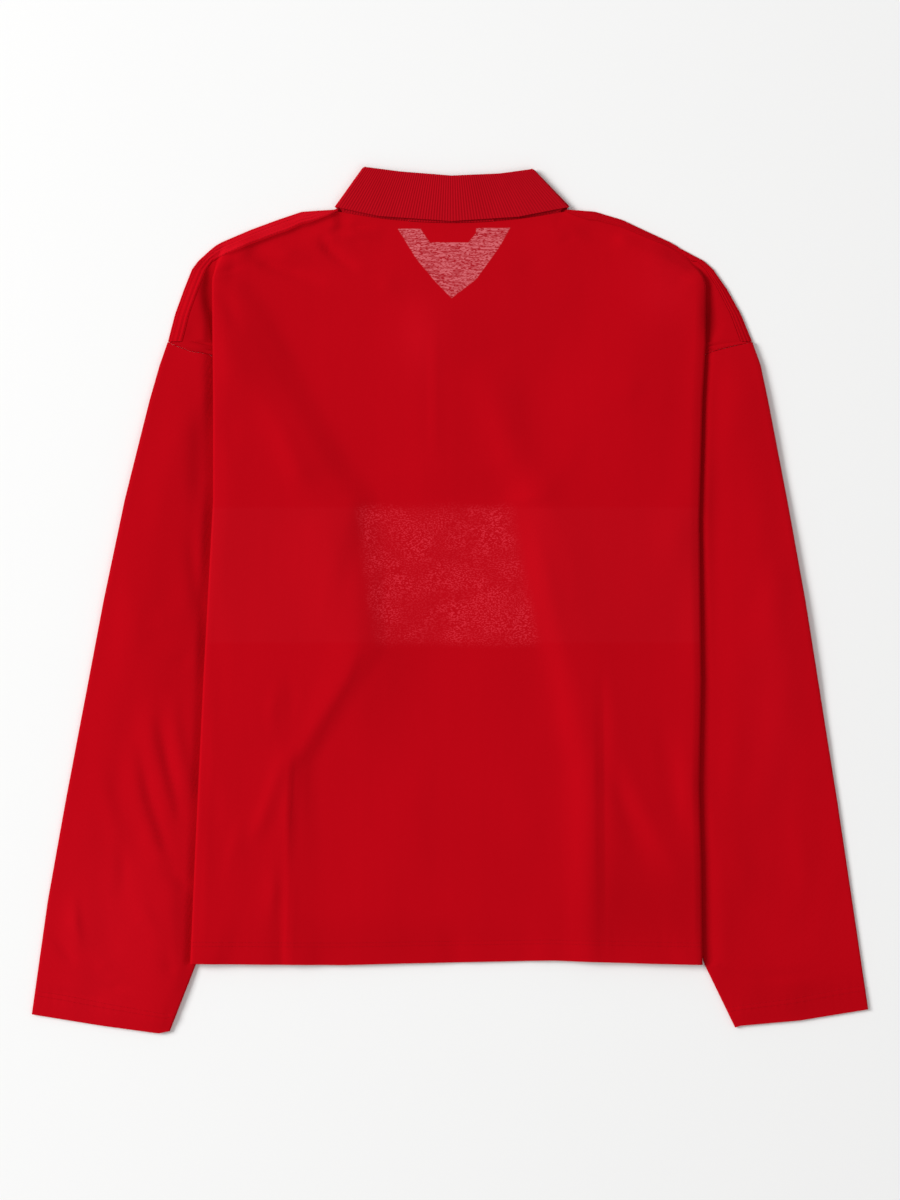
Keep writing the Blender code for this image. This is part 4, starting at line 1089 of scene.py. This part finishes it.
def sleevePoints(side):
    seam = [bodyPath(side, level)[lastColumn][:1].tolist() + [level] for level in levels[armpitRow : tipRow + 1][::-1]]
    shares = np.linspace(0, 1, sleeveCells["across"] + 1)
    radius = cloth["pitch"] / 2
    inset = radius + cloth["thick"] / 2
    axis = along(side["cuff"], 0.5) - np.mean(seam, axis=0)
    length = np.linalg.norm(axis)
    axis /= length
    sewn = [1 - far / length for far in hemShape["rows"]]
    stations = np.unique(np.r_[np.linspace(0, sleeveCells["cuffStart"], sleeveCells["upper"] + 1),
                               np.linspace(sleeveCells["cuffStart"], 1, sleeveCells["cuff"] + 1)[1:], sewn])
    points, flat = {}, {}
    for row, station in enumerate(stations):
        moved = []  # how far each edge is from the straight way between its ends
        for end, table in ((0, "sleeveOuter"), (-1, "sleeveInner")):
            straight = between(np.array(seam[end]), np.array(side["cuff"][end]), station)
            moved.append(edgeQ(side[table], straight[1]) - straight[0])
        line = []
        for share in shares:
            free = between(along(seam, share), along(side["cuff"], share), station)
            line.append(free + (between(*moved, share), 0.0) + axis * sleeveCells["apart"] * (row == 0))
        across = (line[0] - line[-1]) / np.linalg.norm(line[0] - line[-1])
        line = [point - across * inset * (1 - 2 * share) for point, share in zip(line, shares)]
        ring = []  # out over the top, round the inner fold, back beneath and round the outer fold
        for layer, angle in ((line, math.pi / 2), (line[::-1], -math.pi / 2)):
            ring += [(point, angle) for point in layer]
            ring += [(layer[-1], angle + math.pi * j / cloth["bend"]) for j in range(1, cloth["bend"])]
        q, y = np.array([point for point, _ in ring]).T
        upper = ease(np.array([(1 + math.sin(angle)) / 2 for _, angle in ring]))
        x = body["centreX"] + side["sign"] * q
        fromCuff = (1 - station) * length
        lift = sleeveRelief(side, q, y) * upper + creases(frontFolds, x, y) * (0.02 < station < 0.98)
        left, up = sleeveCells["cuffCalm"]
        lift = lift * between(left, 1.0, float(ease(fromCuff / up))) + hemForm(x, fromCuff, "cuff") * upper
        widths = np.linalg.norm(line[0] - line[-1])
        for column, (point, angle) in enumerate(ring):
            away = across * math.cos(angle) * radius
            points[(row, column)] = np.array([body["centreX"] + side["sign"] * (point[0] + away[0]),
                                              point[1] + away[1], floorPair + radius * math.sin(angle) + lift[column]])
            flat[(row, column)] = (column / len(ring) * 2 * widths * mm, -station * length * mm)
    rings = [int(np.argmin(abs(stations - station))) for station in sewn]
    return points, flat, len(stations), len(ring), rings


sleeves = {}
sleeveRings = {}
for name, side in sides.items():
    points, flat, rows, around, sleeveRings[name] = sleevePoints(side)
    faces = gridFaces(rows, around, closed=True, turned=name == "left")
    sleeves[name] = clothWall(f"{name}Sleeve", points, faces, cloth["thick"], flat, sleeveKnit)
print("sleeves made")


# Geometry Nodes: knitted ribs and rows of stitches. Each tree is used once per piece, then baked.


def newTree(name, inputs):
    tree = bpy.data.node_groups.new(name, "GeometryNodeTree")
    tree.interface.new_socket("Geometry", in_out="INPUT", socket_type="NodeSocketGeometry")
    for label, kind in inputs.items():
        tree.interface.new_socket(label, in_out="INPUT", socket_type=kind)
    tree.interface.new_socket("Geometry", in_out="OUTPUT", socket_type="NodeSocketGeometry")
    given = tree.nodes.new("NodeGroupInput").outputs
    return tree, given, tree.nodes.new("NodeGroupOutput")


def addNode(tree, kind, **links):
    node = tree.nodes.new(kind)
    for label, value in links.items():
        socket = node.inputs[label.replace("_", " ")]
        if hasattr(value, "is_linked"):
            tree.links.new(value, socket)
        else:
            socket.default_value = value
    return node


def closeTree(tree, shape, given, end):
    whole = addNode(tree, "GeometryNodeRealizeInstances", Geometry=shape)
    finished = addNode(tree, "GeometryNodeSetMaterial", Geometry=whole.outputs[0], Material=given["Finish"])
    tree.links.new(finished.outputs[0], end.inputs[0])


def bake(piece, tree, values):
    modifier = piece.modifiers.new("build", "NODES")
    modifier.node_group = tree
    for item in tree.interface.items_tree:
        if item.in_out == "INPUT" and item.name in values:
            modifier[item.identifier] = values[item.name]
    return settle(piece)


def knitRibs():
    tree, given, end = newTree("knitRibs", {"Rib pitch": "NodeSocketFloat", "Rib depth": "NodeSocketFloat",
                                            "Finish": "NodeSocketMaterial"})
    strip = addNode(tree, "GeometryNodeInputNamedAttribute", Name="alongStrip")
    held = addNode(tree, "GeometryNodeInputNamedAttribute", Name="ribShare")
    turns = mathNode(tree, "DIVIDE", strip.outputs[0], given["Rib pitch"])
    wave = mathNode(tree, "SINE", mathNode(tree, "MULTIPLY", turns, math.tau))
    depth = mathNode(tree, "MULTIPLY", mathNode(tree, "MULTIPLY", given["Rib depth"], 0.5), held.outputs[0])
    push = tree.nodes.new("ShaderNodeVectorMath")
    push.operation = "SCALE"
    tree.links.new(tree.nodes.new("GeometryNodeInputNormal").outputs[0], push.inputs[0])
    tree.links.new(mathNode(tree, "MULTIPLY", wave, depth), push.inputs["Scale"])
    moved = addNode(tree, "GeometryNodeSetPosition", Geometry=given["Geometry"], Offset=push.outputs[0])
    closeTree(tree, moved.outputs[0], given, end)
    return tree


def stitchRow():
    tree, given, end = newTree("stitchRow", {"Stitch pitch": "NodeSocketFloat", "Stitch length": "NodeSocketFloat",
                                             "Thread radius": "NodeSocketFloat", "Finish": "NodeSocketMaterial"})
    curve = addNode(tree, "GeometryNodeMeshToCurve", Mesh=given["Geometry"])
    spaced = tree.nodes.new("GeometryNodeResampleCurve")
    spaced.mode = "LENGTH"
    tree.links.new(curve.outputs[0], spaced.inputs["Curve"])
    tree.links.new(given["Stitch pitch"], spaced.inputs["Length"])
    drop = tree.nodes.new("GeometryNodeMeshUVSphere")
    drop.inputs["Segments"].default_value = 6
    drop.inputs["Rings"].default_value = 5
    drop.inputs["Radius"].default_value = 1.0
    smooth = addNode(tree, "GeometryNodeSetShadeSmooth", Geometry=drop.outputs[0])
    size = tree.nodes.new("ShaderNodeCombineXYZ")
    tree.links.new(given["Thread radius"], size.inputs[0])
    tree.links.new(given["Thread radius"], size.inputs[1])
    tree.links.new(mathNode(tree, "MULTIPLY", given["Stitch length"], 0.5), size.inputs[2])
    turn = tree.nodes.new("FunctionNodeAlignRotationToVector")
    turn.axis = "Z"
    tree.links.new(tree.nodes.new("GeometryNodeInputTangent").outputs[0], turn.inputs["Vector"])
    placed = addNode(tree, "GeometryNodeInstanceOnPoints", Points=spaced.outputs[0], Instance=smooth.outputs[0],
                     Rotation=turn.outputs[0], Scale=size.outputs[0])
    closeTree(tree, placed.outputs[0], given, end)
    return tree


ribTree = knitRibs()
stitchTree = stitchRow()
threads = {
    "seam": {"Stitch pitch": 3.0 * mm, "Stitch length": 2.5 * mm, "Thread radius": 0.19 * mm},
    "fine": {"Stitch pitch": 2.2 * mm, "Stitch length": 1.8 * mm, "Thread radius": 0.15 * mm},
    "bound": {"Stitch pitch": 0.55 * mm, "Stitch length": 0.5 * mm, "Thread radius": 0.2 * mm},
}


# rows are lists of points in millimetres, already on the cloth
def stitches(name, rows, kind):
    verts, edges = [], []
    for row in rows:
        edges += [(len(verts) + k, len(verts) + k + 1) for k in range(len(row) - 1)]
        verts += [tuple(np.array(point) * mm) for point in row]
    mesh = bpy.data.meshes.new(name)
    mesh.from_pydata(verts, edges, [])
    return bake(newPiece(name, mesh), stitchTree, {**threads[kind], "Finish": sewingThread})


# The collar: one knitted strip, its stand sewn to the neckline, its fall turned down over the stand

collarCells = {
    "stand": 8, "fold": 6, "fall": 12, "turn": 16, "edgeLift": 1.15, "wave": 0.22,
    "inset": 0.65,  # from the drawn fold to the outermost layer's middle
    "tuck": (1.2, 1.8), "tuckFrom": (39, 2), "tuckTo": (96, 5),  # of the seam edge under the back, past the tape
    "calmEdge": (1.2, 2.0),  # the ribs begin this far from an edge and are whole this much further in
    "end": (2.6, 1.5),  # how far the leaf's corner lies inside the drawn one
    "corner": (2.0, 0.4),  # where the seam turns from the back to the front, in from the neck's end and up
    "climb": 2.0, "turnDip": 2.2,
    "over": (3.2, 0.19), "under": (1.2, 16.5),  # the front seam's lift near the corner and drop near the apex
    "frontSeam": [(0, 102.6), (0.19, 86.6), (0.4, 69.1), (0.6, 51.5), (0.8, 34), (0.94, 16.5), (1, 0.8)],
}


def collarStations(side):
    inset = collarShape["pitch"] / 2 + collarCells["inset"]
    cornerIn, edgeIn = collarCells["end"]
    spacing = collarShape["rib"] / collarShape["samplesPerRib"]
    foldEnd = np.array(side["collarFold"][-1]) - (cornerIn, inset)
    edgeEnd = np.array(side["collarEdge"][-1]) - (cornerIn, edgeIn)
    apex = np.array(collarShape["apex"]) + (0.0, -inset)
    neckIn, neckUp = collarCells["corner"]
    corner = np.array([body["neckQ"] - neckIn, body["frontNeck"][-1][1] + cloth["gap"] + neckUp])
    found = []  # seam, fold and edge in plan, the turn, and the length along the strip
    for share in np.linspace(0, 1, round(foldEnd[0] / spacing) + 1)[:-1]:
        q = corner[0] * share
        foldQ, lowQ = foldEnd[0] * share, edgeEnd[0] * share
        seam = (q, neckline("back", q) + cloth["gap"] + collarCells["climb"] * share ** 6)
        fold = (foldQ, edgeY(side["collarFold"], foldQ) - inset)
        found.append((seam, fold, (lowQ, edgeY(side["collarEdge"], lowQ)), 0.0, foldQ))
    length = foldEnd[0]
    for turn in np.linspace(0, math.pi, collarCells["turn"] + 1)[:-1]:
        found.append((corner, foldEnd - (0.0, collarCells["turnDip"] * math.sin(turn)), edgeEnd, turn, length))
        length += spacing
    steps = round(np.linalg.norm(foldEnd - apex) / spacing)
    for k, share in enumerate(np.linspace(0, 1, steps + 1)):
        q = readTable(collarCells["frontSeam"], share)
        (lift, until), (drop, near) = collarCells["over"], collarCells["under"]
        over = cloth["gap"] + 0.1 + lift * max(0.0, 1 - share / until) - drop * max(0.0, near - q) / near
        seam = (q - 0.2, edgeY(body["frontNeck"], q) + over)
        fold, edge = between(foldEnd, apex, share), between(edgeEnd, np.array(collarShape["leafTip"]), share)
        found.append((seam, (max(fold[0], 0.6), fold[1]), edge, math.pi, length + k * spacing))
    return found


def collarSection(side, seam, fold, edge, turn):
    standOut, fallOut = collarShape["pitch"] / 2, collarShape["pitch"] * 1.5
    radius = (fallOut - standOut) / 2
    seam, fold, edge = (np.array([body["centreX"] + side["sign"] * plan[0], plan[1], collarShape["middle"]])
                        for plan in (seam, fold, edge))
    up = (fold - edge) / np.linalg.norm(fold - edge)
    sideways = np.array([-up[1], up[0], 0.0])
    sideways *= side["sign"] * np.sign(sideways[0])
    lift = np.array([0, 0, math.cos(turn)]) + sideways * math.sin(turn)
    section = [between(seam, fold, share) + lift * standOut for share in np.linspace(0, 1, collarCells["stand"] + 1)]
    q = abs(seam[0] - body["centreX"])
    if turn == 0:
        tucked = rising(q, collarCells["tuckFrom"]) * (1 - rising(q, collarCells["tuckTo"]))
        section[0] = section[0] - np.array([0, *collarCells["tuck"]]) * tucked
    centre = fold + lift * (standOut + fallOut) / 2
    for k in range(1, collarCells["fold"]):
        angle = math.pi * k / collarCells["fold"]
        section.append(centre + (up * math.sin(angle) - lift * math.cos(angle)) * radius)
    shown = math.cos(turn / 2) ** 4
    for share in np.linspace(0, 1, collarCells["fall"] + 1):
        point = between(fold, edge, share) + lift * fallOut
        off = collarCells["edgeLift"] * share ** 2 * max(0.0, 1 - (abs(point[0]) / 104) ** 4)
        off += collarCells["wave"] * math.sin(point[0] * 0.07 + 1.1) * math.sin(math.pi * min(1, share + 0.15))
        section.append(point + np.array([0, 0, max(off, -0.1) * shown]))
    return section


def collarKnit():
    left, right = (collarStations(sides[name]) for name in ("left", "right"))
    order = [(sides["left"], station) for station in reversed(left)]
    order += [(sides["right"], station) for station in right[1:]]
    points, flat, alongStrip, ribShare = {}, {}, {}, {}
    for row, (side, (seam, fold, edge, turn, length)) in enumerate(order):
        section = collarSection(side, seam, fold, edge, turn)
        down = lengthsAlong(section)
        for column, point in enumerate(section):
            points[(row, column)] = point
            flat[(row, column)] = (side["sign"] * length * mm, down[column] * mm)
            alongStrip[(row, column)] = side["sign"] * length * mm
            fromEdge = min(down[column], down[-1] - down[column])
            ribShare[(row, column)] = float(rising(fromEdge, collarCells["calmEdge"]))
    piece = clothWall("collarKnit", points, gridFaces(len(order), len(section)), collarShape["thick"], flat, ribKnit)
    keys = list(surfaces["collarKnit"][0])
    for label, values in (("alongStrip", alongStrip), ("ribShare", ribShare)):
        layer = piece.data.attributes.new(label, "FLOAT", "POINT")
        layer.data.foreach_set("value", [values[key] for key in keys] * 2)
    return bake(piece, ribTree, {"Rib pitch": collarShape["rib"] * mm, "Rib depth": collarShape["ribDepth"] * mm,
                                 "Finish": ribKnit})


collar = collarKnit()
print("collar:", len(collar.data.polygons), "faces")


# Small pieces, each a strip between two side lines


def flatStrip(name, across, upwards, shape, thick, finish, holes=()):
    points = {(row, column): np.array(shape(u, v)) for row, v in enumerate(upwards) for column, u in enumerate(across)}

    def whole(face):
        row, column = face[0]
        middle = np.mean(across[column : column + 2]), np.mean(upwards[row : row + 2])
        return not any(abs(middle[0] - x) < w / 2 and abs(middle[1] - y) < h / 2 for x, y, w, h in holes)
    faces = [face for face in gridFaces(len(upwards), len(across)) if whole(face)]
    return clothWall(name, points, faces, thick, {key: tuple(spot[:2] * mm) for key, spot in points.items()}, finish)


buttonShape = {
    "levels": {"top": 257.0, "middle": 204.0, "lower": 151.0},
    "profile": [(0.0, 1.8), (4.6, 1.8), (5.35, 1.62), (5.7, 1.25), (5.75, 0.85), (5.6, 0.4), (5.2, 0.08),
                (4.7, 0.0), (4.2, 0.06), (3.85, 0.3), (3.6, 0.42), (0.0, 0.42)],
    "holeAt": 1.35, "holeRadius": 0.75,
    "slit": (0.7, 13.4), "bound": (0.75, 0.6),  # the buttonhole, and its thread's place out from the middle and ends
}
placketCells = {"stitchIn": 1.8, "boxTop": 20.0, "topstitchDip": 0.14}
placketHalf, placketBottom = placketShape["half"] - cloth["gap"], placketShape["bottom"] + cloth["gap"]


def placketDip(u, v):
    fromEdge = min(placketHalf - abs(u), v - placketShape["bottom"])
    return -placketCells["topstitchDip"] * math.exp(-((fromEdge - placketCells["stitchIn"]) / 1.1) ** 2)


def placketStrip(name, z, outward, holes):
    slitWidth, slitLength = buttonShape["slit"]
    slitSides = [s * slitWidth / 2 for s in (-1, 1)]
    slitEnds = [y + s * slitLength / 2 for y in buttonShape["levels"].values() for s in (-1, 1)]
    across = np.unique(np.round(np.r_[np.linspace(-placketHalf, placketHalf, 33), slitSides], 4))
    upwards = np.unique(np.round(np.r_[np.linspace(placketBottom, placketShape["top"], 120), slitEnds], 4))

    def shape(u, v):
        return body["centreX"] + u, v, z + placketDip(u, v) * outward
    return flatStrip(name, across, upwards, shape, cloth["thick"], frontPlain, holes)


frontPlain = jerseyMaterial("placketJersey")
placketLow = cloth["thick"] / 2 + placketShape["lift"]
slits = [(0.0, y, *buttonShape["slit"]) for y in buttonShape["levels"].values()]
placketUpper = placketStrip("placketUpper", placketLow, -1, slits)
placketUnder = placketStrip("placketUnder", placketLow + cloth["pitch"], 1, ())


tapeShape = {"half": 38.0, "bottom": 339.5, "top": 351.0, "z": 2.5, "thick": 0.9}
labelShape = {"topHalf": 24.5, "bottomHalf": 17.5, "top": 345.0, "bottom": 328.4, "z": 1.2, "thick": 0.8}


def tapePoint(u, v):
    curve = neckline("back", u) - body["backNeck"][0]
    return body["centreX"] + u, v + curve, tapeShape["z"] + 0.05 * math.sin(u * 0.4)


def labelPoint(u, v):
    share = (v - labelShape["bottom"]) / (labelShape["top"] - labelShape["bottom"])
    half = between(labelShape["bottomHalf"], labelShape["topHalf"], share)
    return body["centreX"] + u * half, v, labelShape["z"] + 0.08 * math.cos(2.2 * u) * (1 - share)


neckTape = flatStrip("neckTape", np.linspace(-tapeShape["half"], tapeShape["half"], 77),
                     np.linspace(tapeShape["bottom"], tapeShape["top"], 13), tapePoint, tapeShape["thick"], tapeTwill)
neckLabel = flatStrip("neckLabel", np.linspace(-1, 1, 41), np.linspace(labelShape["bottom"], labelShape["top"], 15),
                      labelPoint, labelShape["thick"], labelWeave)


def fourHoleButton(name, y):
    spot = Vector((body["centreX"], y - body["centreY"], 0.0))
    work = bmesh.new()
    rim = [work.verts.new(Vector((r, 0, z)) * mm) for r, z in buttonShape["profile"]]
    edges = [work.edges.new(pair) for pair in zip(rim, rim[1:])]
    bmesh.ops.spin(work, geom=rim + edges, cent=(0, 0, 0), axis=(0, 0, 1), angle=math.tau, steps=48)
    bmesh.ops.remove_doubles(work, verts=work.verts, dist=1e-7)
    bmesh.ops.recalc_face_normals(work, faces=work.faces)
    mesh = bpy.data.meshes.new(name)
    work.to_mesh(mesh)
    work.clear()
    radius = buttonShape["holeRadius"] * mm
    for a, b in ((1, 1), (1, -1), (-1, 1), (-1, -1)):
        made = bmesh.ops.create_cone(work, cap_ends=True, segments=16, radius1=radius, radius2=radius, depth=6 * mm)
        bmesh.ops.translate(work, verts=made["verts"], vec=Vector((a, b, 0)) * buttonShape["holeAt"] * mm)
    cutterMesh = bpy.data.meshes.new("holes")
    work.to_mesh(cutterMesh)
    work.free()
    piece, cutter = newPiece(name, mesh), newPiece("holes", cutterMesh)
    cut = piece.modifiers.new("holes", "BOOLEAN")
    cut.object, cut.solver = cutter, "EXACT"
    drilled = settle(piece).data
    bpy.data.objects.remove(cutter, do_unlink=True)
    drilled.transform(Matrix.Translation(spot * mm))
    drilled.materials.clear()
    drilled.materials.append(buttonResin)
    drilled.shade_smooth()
    drilled.set_sharp_from_angle(angle=math.radians(35))
    return piece


buttons = {name: fourHoleButton(f"{name}Button", y) for name, y in buttonShape["levels"].items()}
print("placket, tape, label and buttons made")


# Sewing


threadRise = {"shown": 0.06, "under": -0.12}  # above the cloth on the side that shows, sunk where it lies down


def panelRow(piece, row, outward, rise):
    left = [(row, "left", column) for column in range(flapColumn, 0, -1)]
    right = [(row, "right", column) for column in range(1, flapColumn + 1)]
    keys = [key for key in (*left, (row, "centre", 0), *right) if key in surfaces[piece.name][0]]
    return onFace(piece, keys, outward, rise)


def boxLine(x0, x1, y0, y1, z, crossed=False):
    corners = [(x0, y1), (x0, y0), (x1, y0), (x1, y1)]
    if crossed:
        corners += [(x0, y1), (x1, y0), (x0, y0), (x1, y1)]
    return [(body["centreX"] + x, y - body["centreY"], z) for x, y in corners]


hemRows = [rowAt(level) for level, _ in body["keyLevels"][1:3]]
hemFaces = [(backPanel, 1, threadRise["shown"]), (frontPanel, -1, threadRise["under"])]
hemStitches = stitches("hemStitches", [panelRow(piece, row, outward, rise) for row in hemRows
                                       for piece, outward, rise in hemFaces], "seam")

across, bend = sleeveCells["across"], cloth["bend"]
cuffSpans = {"shown": (1, across), "under": (across + bend + 1, 2 * across + bend)}
cuffStitches = {}
for name, piece in sleeves.items():
    lines = [onFace(piece, [(ring, column) for column in range(*ends)], 1, threadRise[where])
             for ring in sleeveRings[name] for where, ends in cuffSpans.items()]
    cuffStitches[name] = stitches(f"{name}CuffStitches", lines, "seam")

# rows that run beside the shoulder seam, on the rolled strip, at these distances from it
shoulderRows = {"left": (1.5, 4.5, 8.0, 11.0), "right": (1.5, 4.0)}
shoulderLines = []
frontSeats = surfaces["frontPanel"][0]
for name, distances in shoulderRows.items():
    for distance in distances:
        rows = [[]]
        for line in stripLines[name]:
            seats = np.array([frontSeats[key] for key in line[::-1]])
            steps = lengthsAlong(seats)
            if steps[-1 - cloth["bend"]] < distance:
                rows.append([])  # the strip is too narrow here
                continue
            spot = np.array([np.interp(distance, steps, column) for column in seats.T])
            rows[-1].append(spot + (0, 0, cloth["thick"] / 2 + threadRise["shown"]))
        shoulderLines += [row for row in rows if len(row) > 3]
armholeLines = [onFace(backPanel, [(row, name, lastColumn - 1) for row in range(armpitRow, tipRow + 1)], 1)
                for name in sides]
shoulderStitches = stitches("shoulderStitches", shoulderLines + armholeLines, "seam")

neckKeys = [[(topRow - 1, name, column) for column in range(cells["placket"], neckColumn + 1)] for name in sides]
neckStitches = stitches("neckStitches", [onFace(frontPanel, keys, -1) for keys in neckKeys], "fine")

# the placket's edges and its crossed box, on its outer and inner face, and the bound buttonholes
edge = placketHalf - placketCells["stitchIn"]
low, high = placketBottom + placketCells["stitchIn"], placketShape["top"] - 2.0
outer, inner = placketLow - 0.56, placketLow + cloth["pitch"] + 0.56
placketStitches = stitches("placketStitches", [
    boxLine(-edge, edge, low, high, outer), boxLine(-edge, edge, low, high, inner),
    boxLine(-edge, edge, low, low + placketCells["boxTop"], outer, crossed=True)], "fine")
bound = []
for _, y, _, slitLength in slits:
    (out, past), reach = buttonShape["bound"], slitLength / 2
    hole = boxLine(-out, out, y - reach - past, y + reach + past, outer)
    bound.append([*hole, hole[0]])
buttonholeStitches = stitches("buttonholeStitches", bound, "bound")


# four strands over each button's face, and the shank behind it
def buttonStrands(y):
    a, x0, y0 = buttonShape["holeAt"], body["centreX"], y - body["centreY"]
    over = [[(x0 + s * a + k * 0.3, y0 + t * a, z) for t, z in ((-1, 0.38), (0, 0.2), (1, 0.38))]
            for s in (-1, 1) for k in (-1, 0, 1)]
    shank = [(a, a, 0.38), (a, a, 1.8), (0.2, 0.4, 2.2), (0.2, 0.4, 3.5)]
    behind = [[(x0 + s * far, y0 + t * up, z) for far, up, z in shank] for s in (-1, 1) for t in (-1, 1)]
    return over + behind


buttonThread = stitches("buttonThread", [row for y in buttonShape["levels"].values() for row in buttonStrands(y)],
                        "bound")

# the tape along both its edges, and the label along its top and both its ends
def sewnPath(shape, made, path):
    under = (0, body["centreY"], made["thick"] / 2 + 0.05)
    return [np.array(shape(u, v)) - under for u, v in path]


tapeEnd, tapeIn = tapeShape["half"] - 1.0, 1.5  # how far along the rows of stitches go, and how far in they lie
tapeRows = [sewnPath(tapePoint, tapeShape, [(u, v) for u in np.linspace(-tapeEnd, tapeEnd, 60)])
            for v in (tapeShape["bottom"] + tapeIn, tapeShape["top"] - tapeIn)]
topLeft, topRight = (-0.94, 343.8), (0.94, 343.8)
labelRows = [sewnPath(labelPoint, labelShape, path) for path in (
    [topLeft, topRight], [topLeft, (-0.92, 329.6)], [topRight, (0.92, 329.6)])]
tapeStitches = stitches("tapeStitches", tapeRows + labelRows, "fine")
print("sewing done")


# What each piece stands for, and the cuts of the cloth

standsFor = {
    "jersey": [(backPanel, "back_panel"), (frontPanel, "front_panel"), (sleeves["left"], "sleeve_left"),
               (sleeves["right"], "sleeve_right"), (placketUpper, "placket_upper"), (placketUnder, "placket_under")],
    "rib_knit": [(collar, "collar")],
    "tape": [(neckTape, "neck_tape")],
    "label": [(neckLabel, "neck_label")],
    "button": [(buttons[name], f"button_{name}") for name in buttons],
}
for slot, pieces in standsFor.items():
    for piece, node in pieces:
        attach(piece, "root")
        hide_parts(node)
for piece in (hemStitches, *cuffStitches.values(), shoulderStitches, neckStitches, placketStitches, buttonholeStitches,
              buttonThread, tapeStitches):
    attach(piece, "root")

# each with its flat size and area in metres, how it is held, what it lies on and what is sewn on it
cuts = [
    (backPanel, (0.70, 0.70), 0.42, "folded", [frontPanel], [hemStitches]),
    (frontPanel, (0.70, 0.72), 0.42, "folded", [sleeves["left"], sleeves["right"]], []),
    (sleeves["left"], (0.40, 0.64), 0.2, "folded", [], [cuffStitches["left"]]),
    (sleeves["right"], (0.40, 0.64), 0.2, "folded", [], [cuffStitches["right"]]),
    (collar, (0.46, 0.09), None, "folded", [backPanel], []),
    (placketUpper, (0.0323, 0.1447), None, "laid", [buttons["top"]], [placketStitches]),
    (placketUnder, (0.0323, 0.1447), None, "laid", [placketUpper], []),
    (neckTape, (0.076, 0.0115), None, "laid", [neckLabel], []),
    (neckLabel, (0.049, 0.0166), None, "laid", [], []),
]
for piece, flat, area, held, under, withPieces in cuts:
    half = sum(face.area for face in piece.data.polygons) / 2
    print(piece.name, "half surface", round(half, 4), "m2")


# The table, the light and the camera

studio = {
    "floor": (0.93, 0.93, 0.925), "floorHalf": 3.0, "floorDrop": 0.0004,
    "key": {"energy": 690.0, "size": 3.8, "at": (-6.6, 1.9, 4.9)},
    "fill": {"energy": 60.0, "size": 4.0, "at": (4.0, -3.0, 6.0)},
    "world": 0.39,
    "cameraHeight": 3.0, "lens": 97.83,
}

floorMesh = bpy.data.meshes.new("table")
half = studio["floorHalf"]
floorMesh.from_pydata([(a * half, b * half, -studio["floorDrop"]) for a, b in ((-1, -1), (1, -1), (1, 1), (-1, 1))],
                      [], [(0, 1, 2, 3)])
table = newPiece("table", floorMesh)
tableFinish, _, tableShader = newMaterial("paleTable")
tableShader.inputs["Base Color"].default_value = (*studio["floor"], 1.0)
tableShader.inputs["Roughness"].default_value = 0.7
floorMesh.materials.append(tableFinish)

for name in ("key", "fill"):
    values = studio[name]
    light = bpy.data.lights.new(name, "AREA")
    light.energy, light.size = values["energy"], values["size"]
    lamp = newPiece(name, light)
    lamp.location = values["at"]
    lamp.rotation_euler = (-Vector(values["at"])).to_track_quat("-Z", "Y").to_euler()

world = bpy.data.worlds.new("studio")
bpy.context.scene.world = world
world.use_nodes = True
sky = world.node_tree.nodes["Background"].inputs
sky["Color"].default_value, sky["Strength"].default_value = (1.0, 1.0, 1.0, 1.0), studio["world"]

lensData = bpy.data.cameras.new("camera")
lensData.sensor_width, lensData.lens = 36.0, studio["lens"]
camera = newPiece("camera", lensData)
camera.location = (0.0, -body["centreY"] * mm, studio["cameraHeight"])
bpy.context.scene.camera = camera
bpy.context.scene.view_settings.view_transform = "Standard"
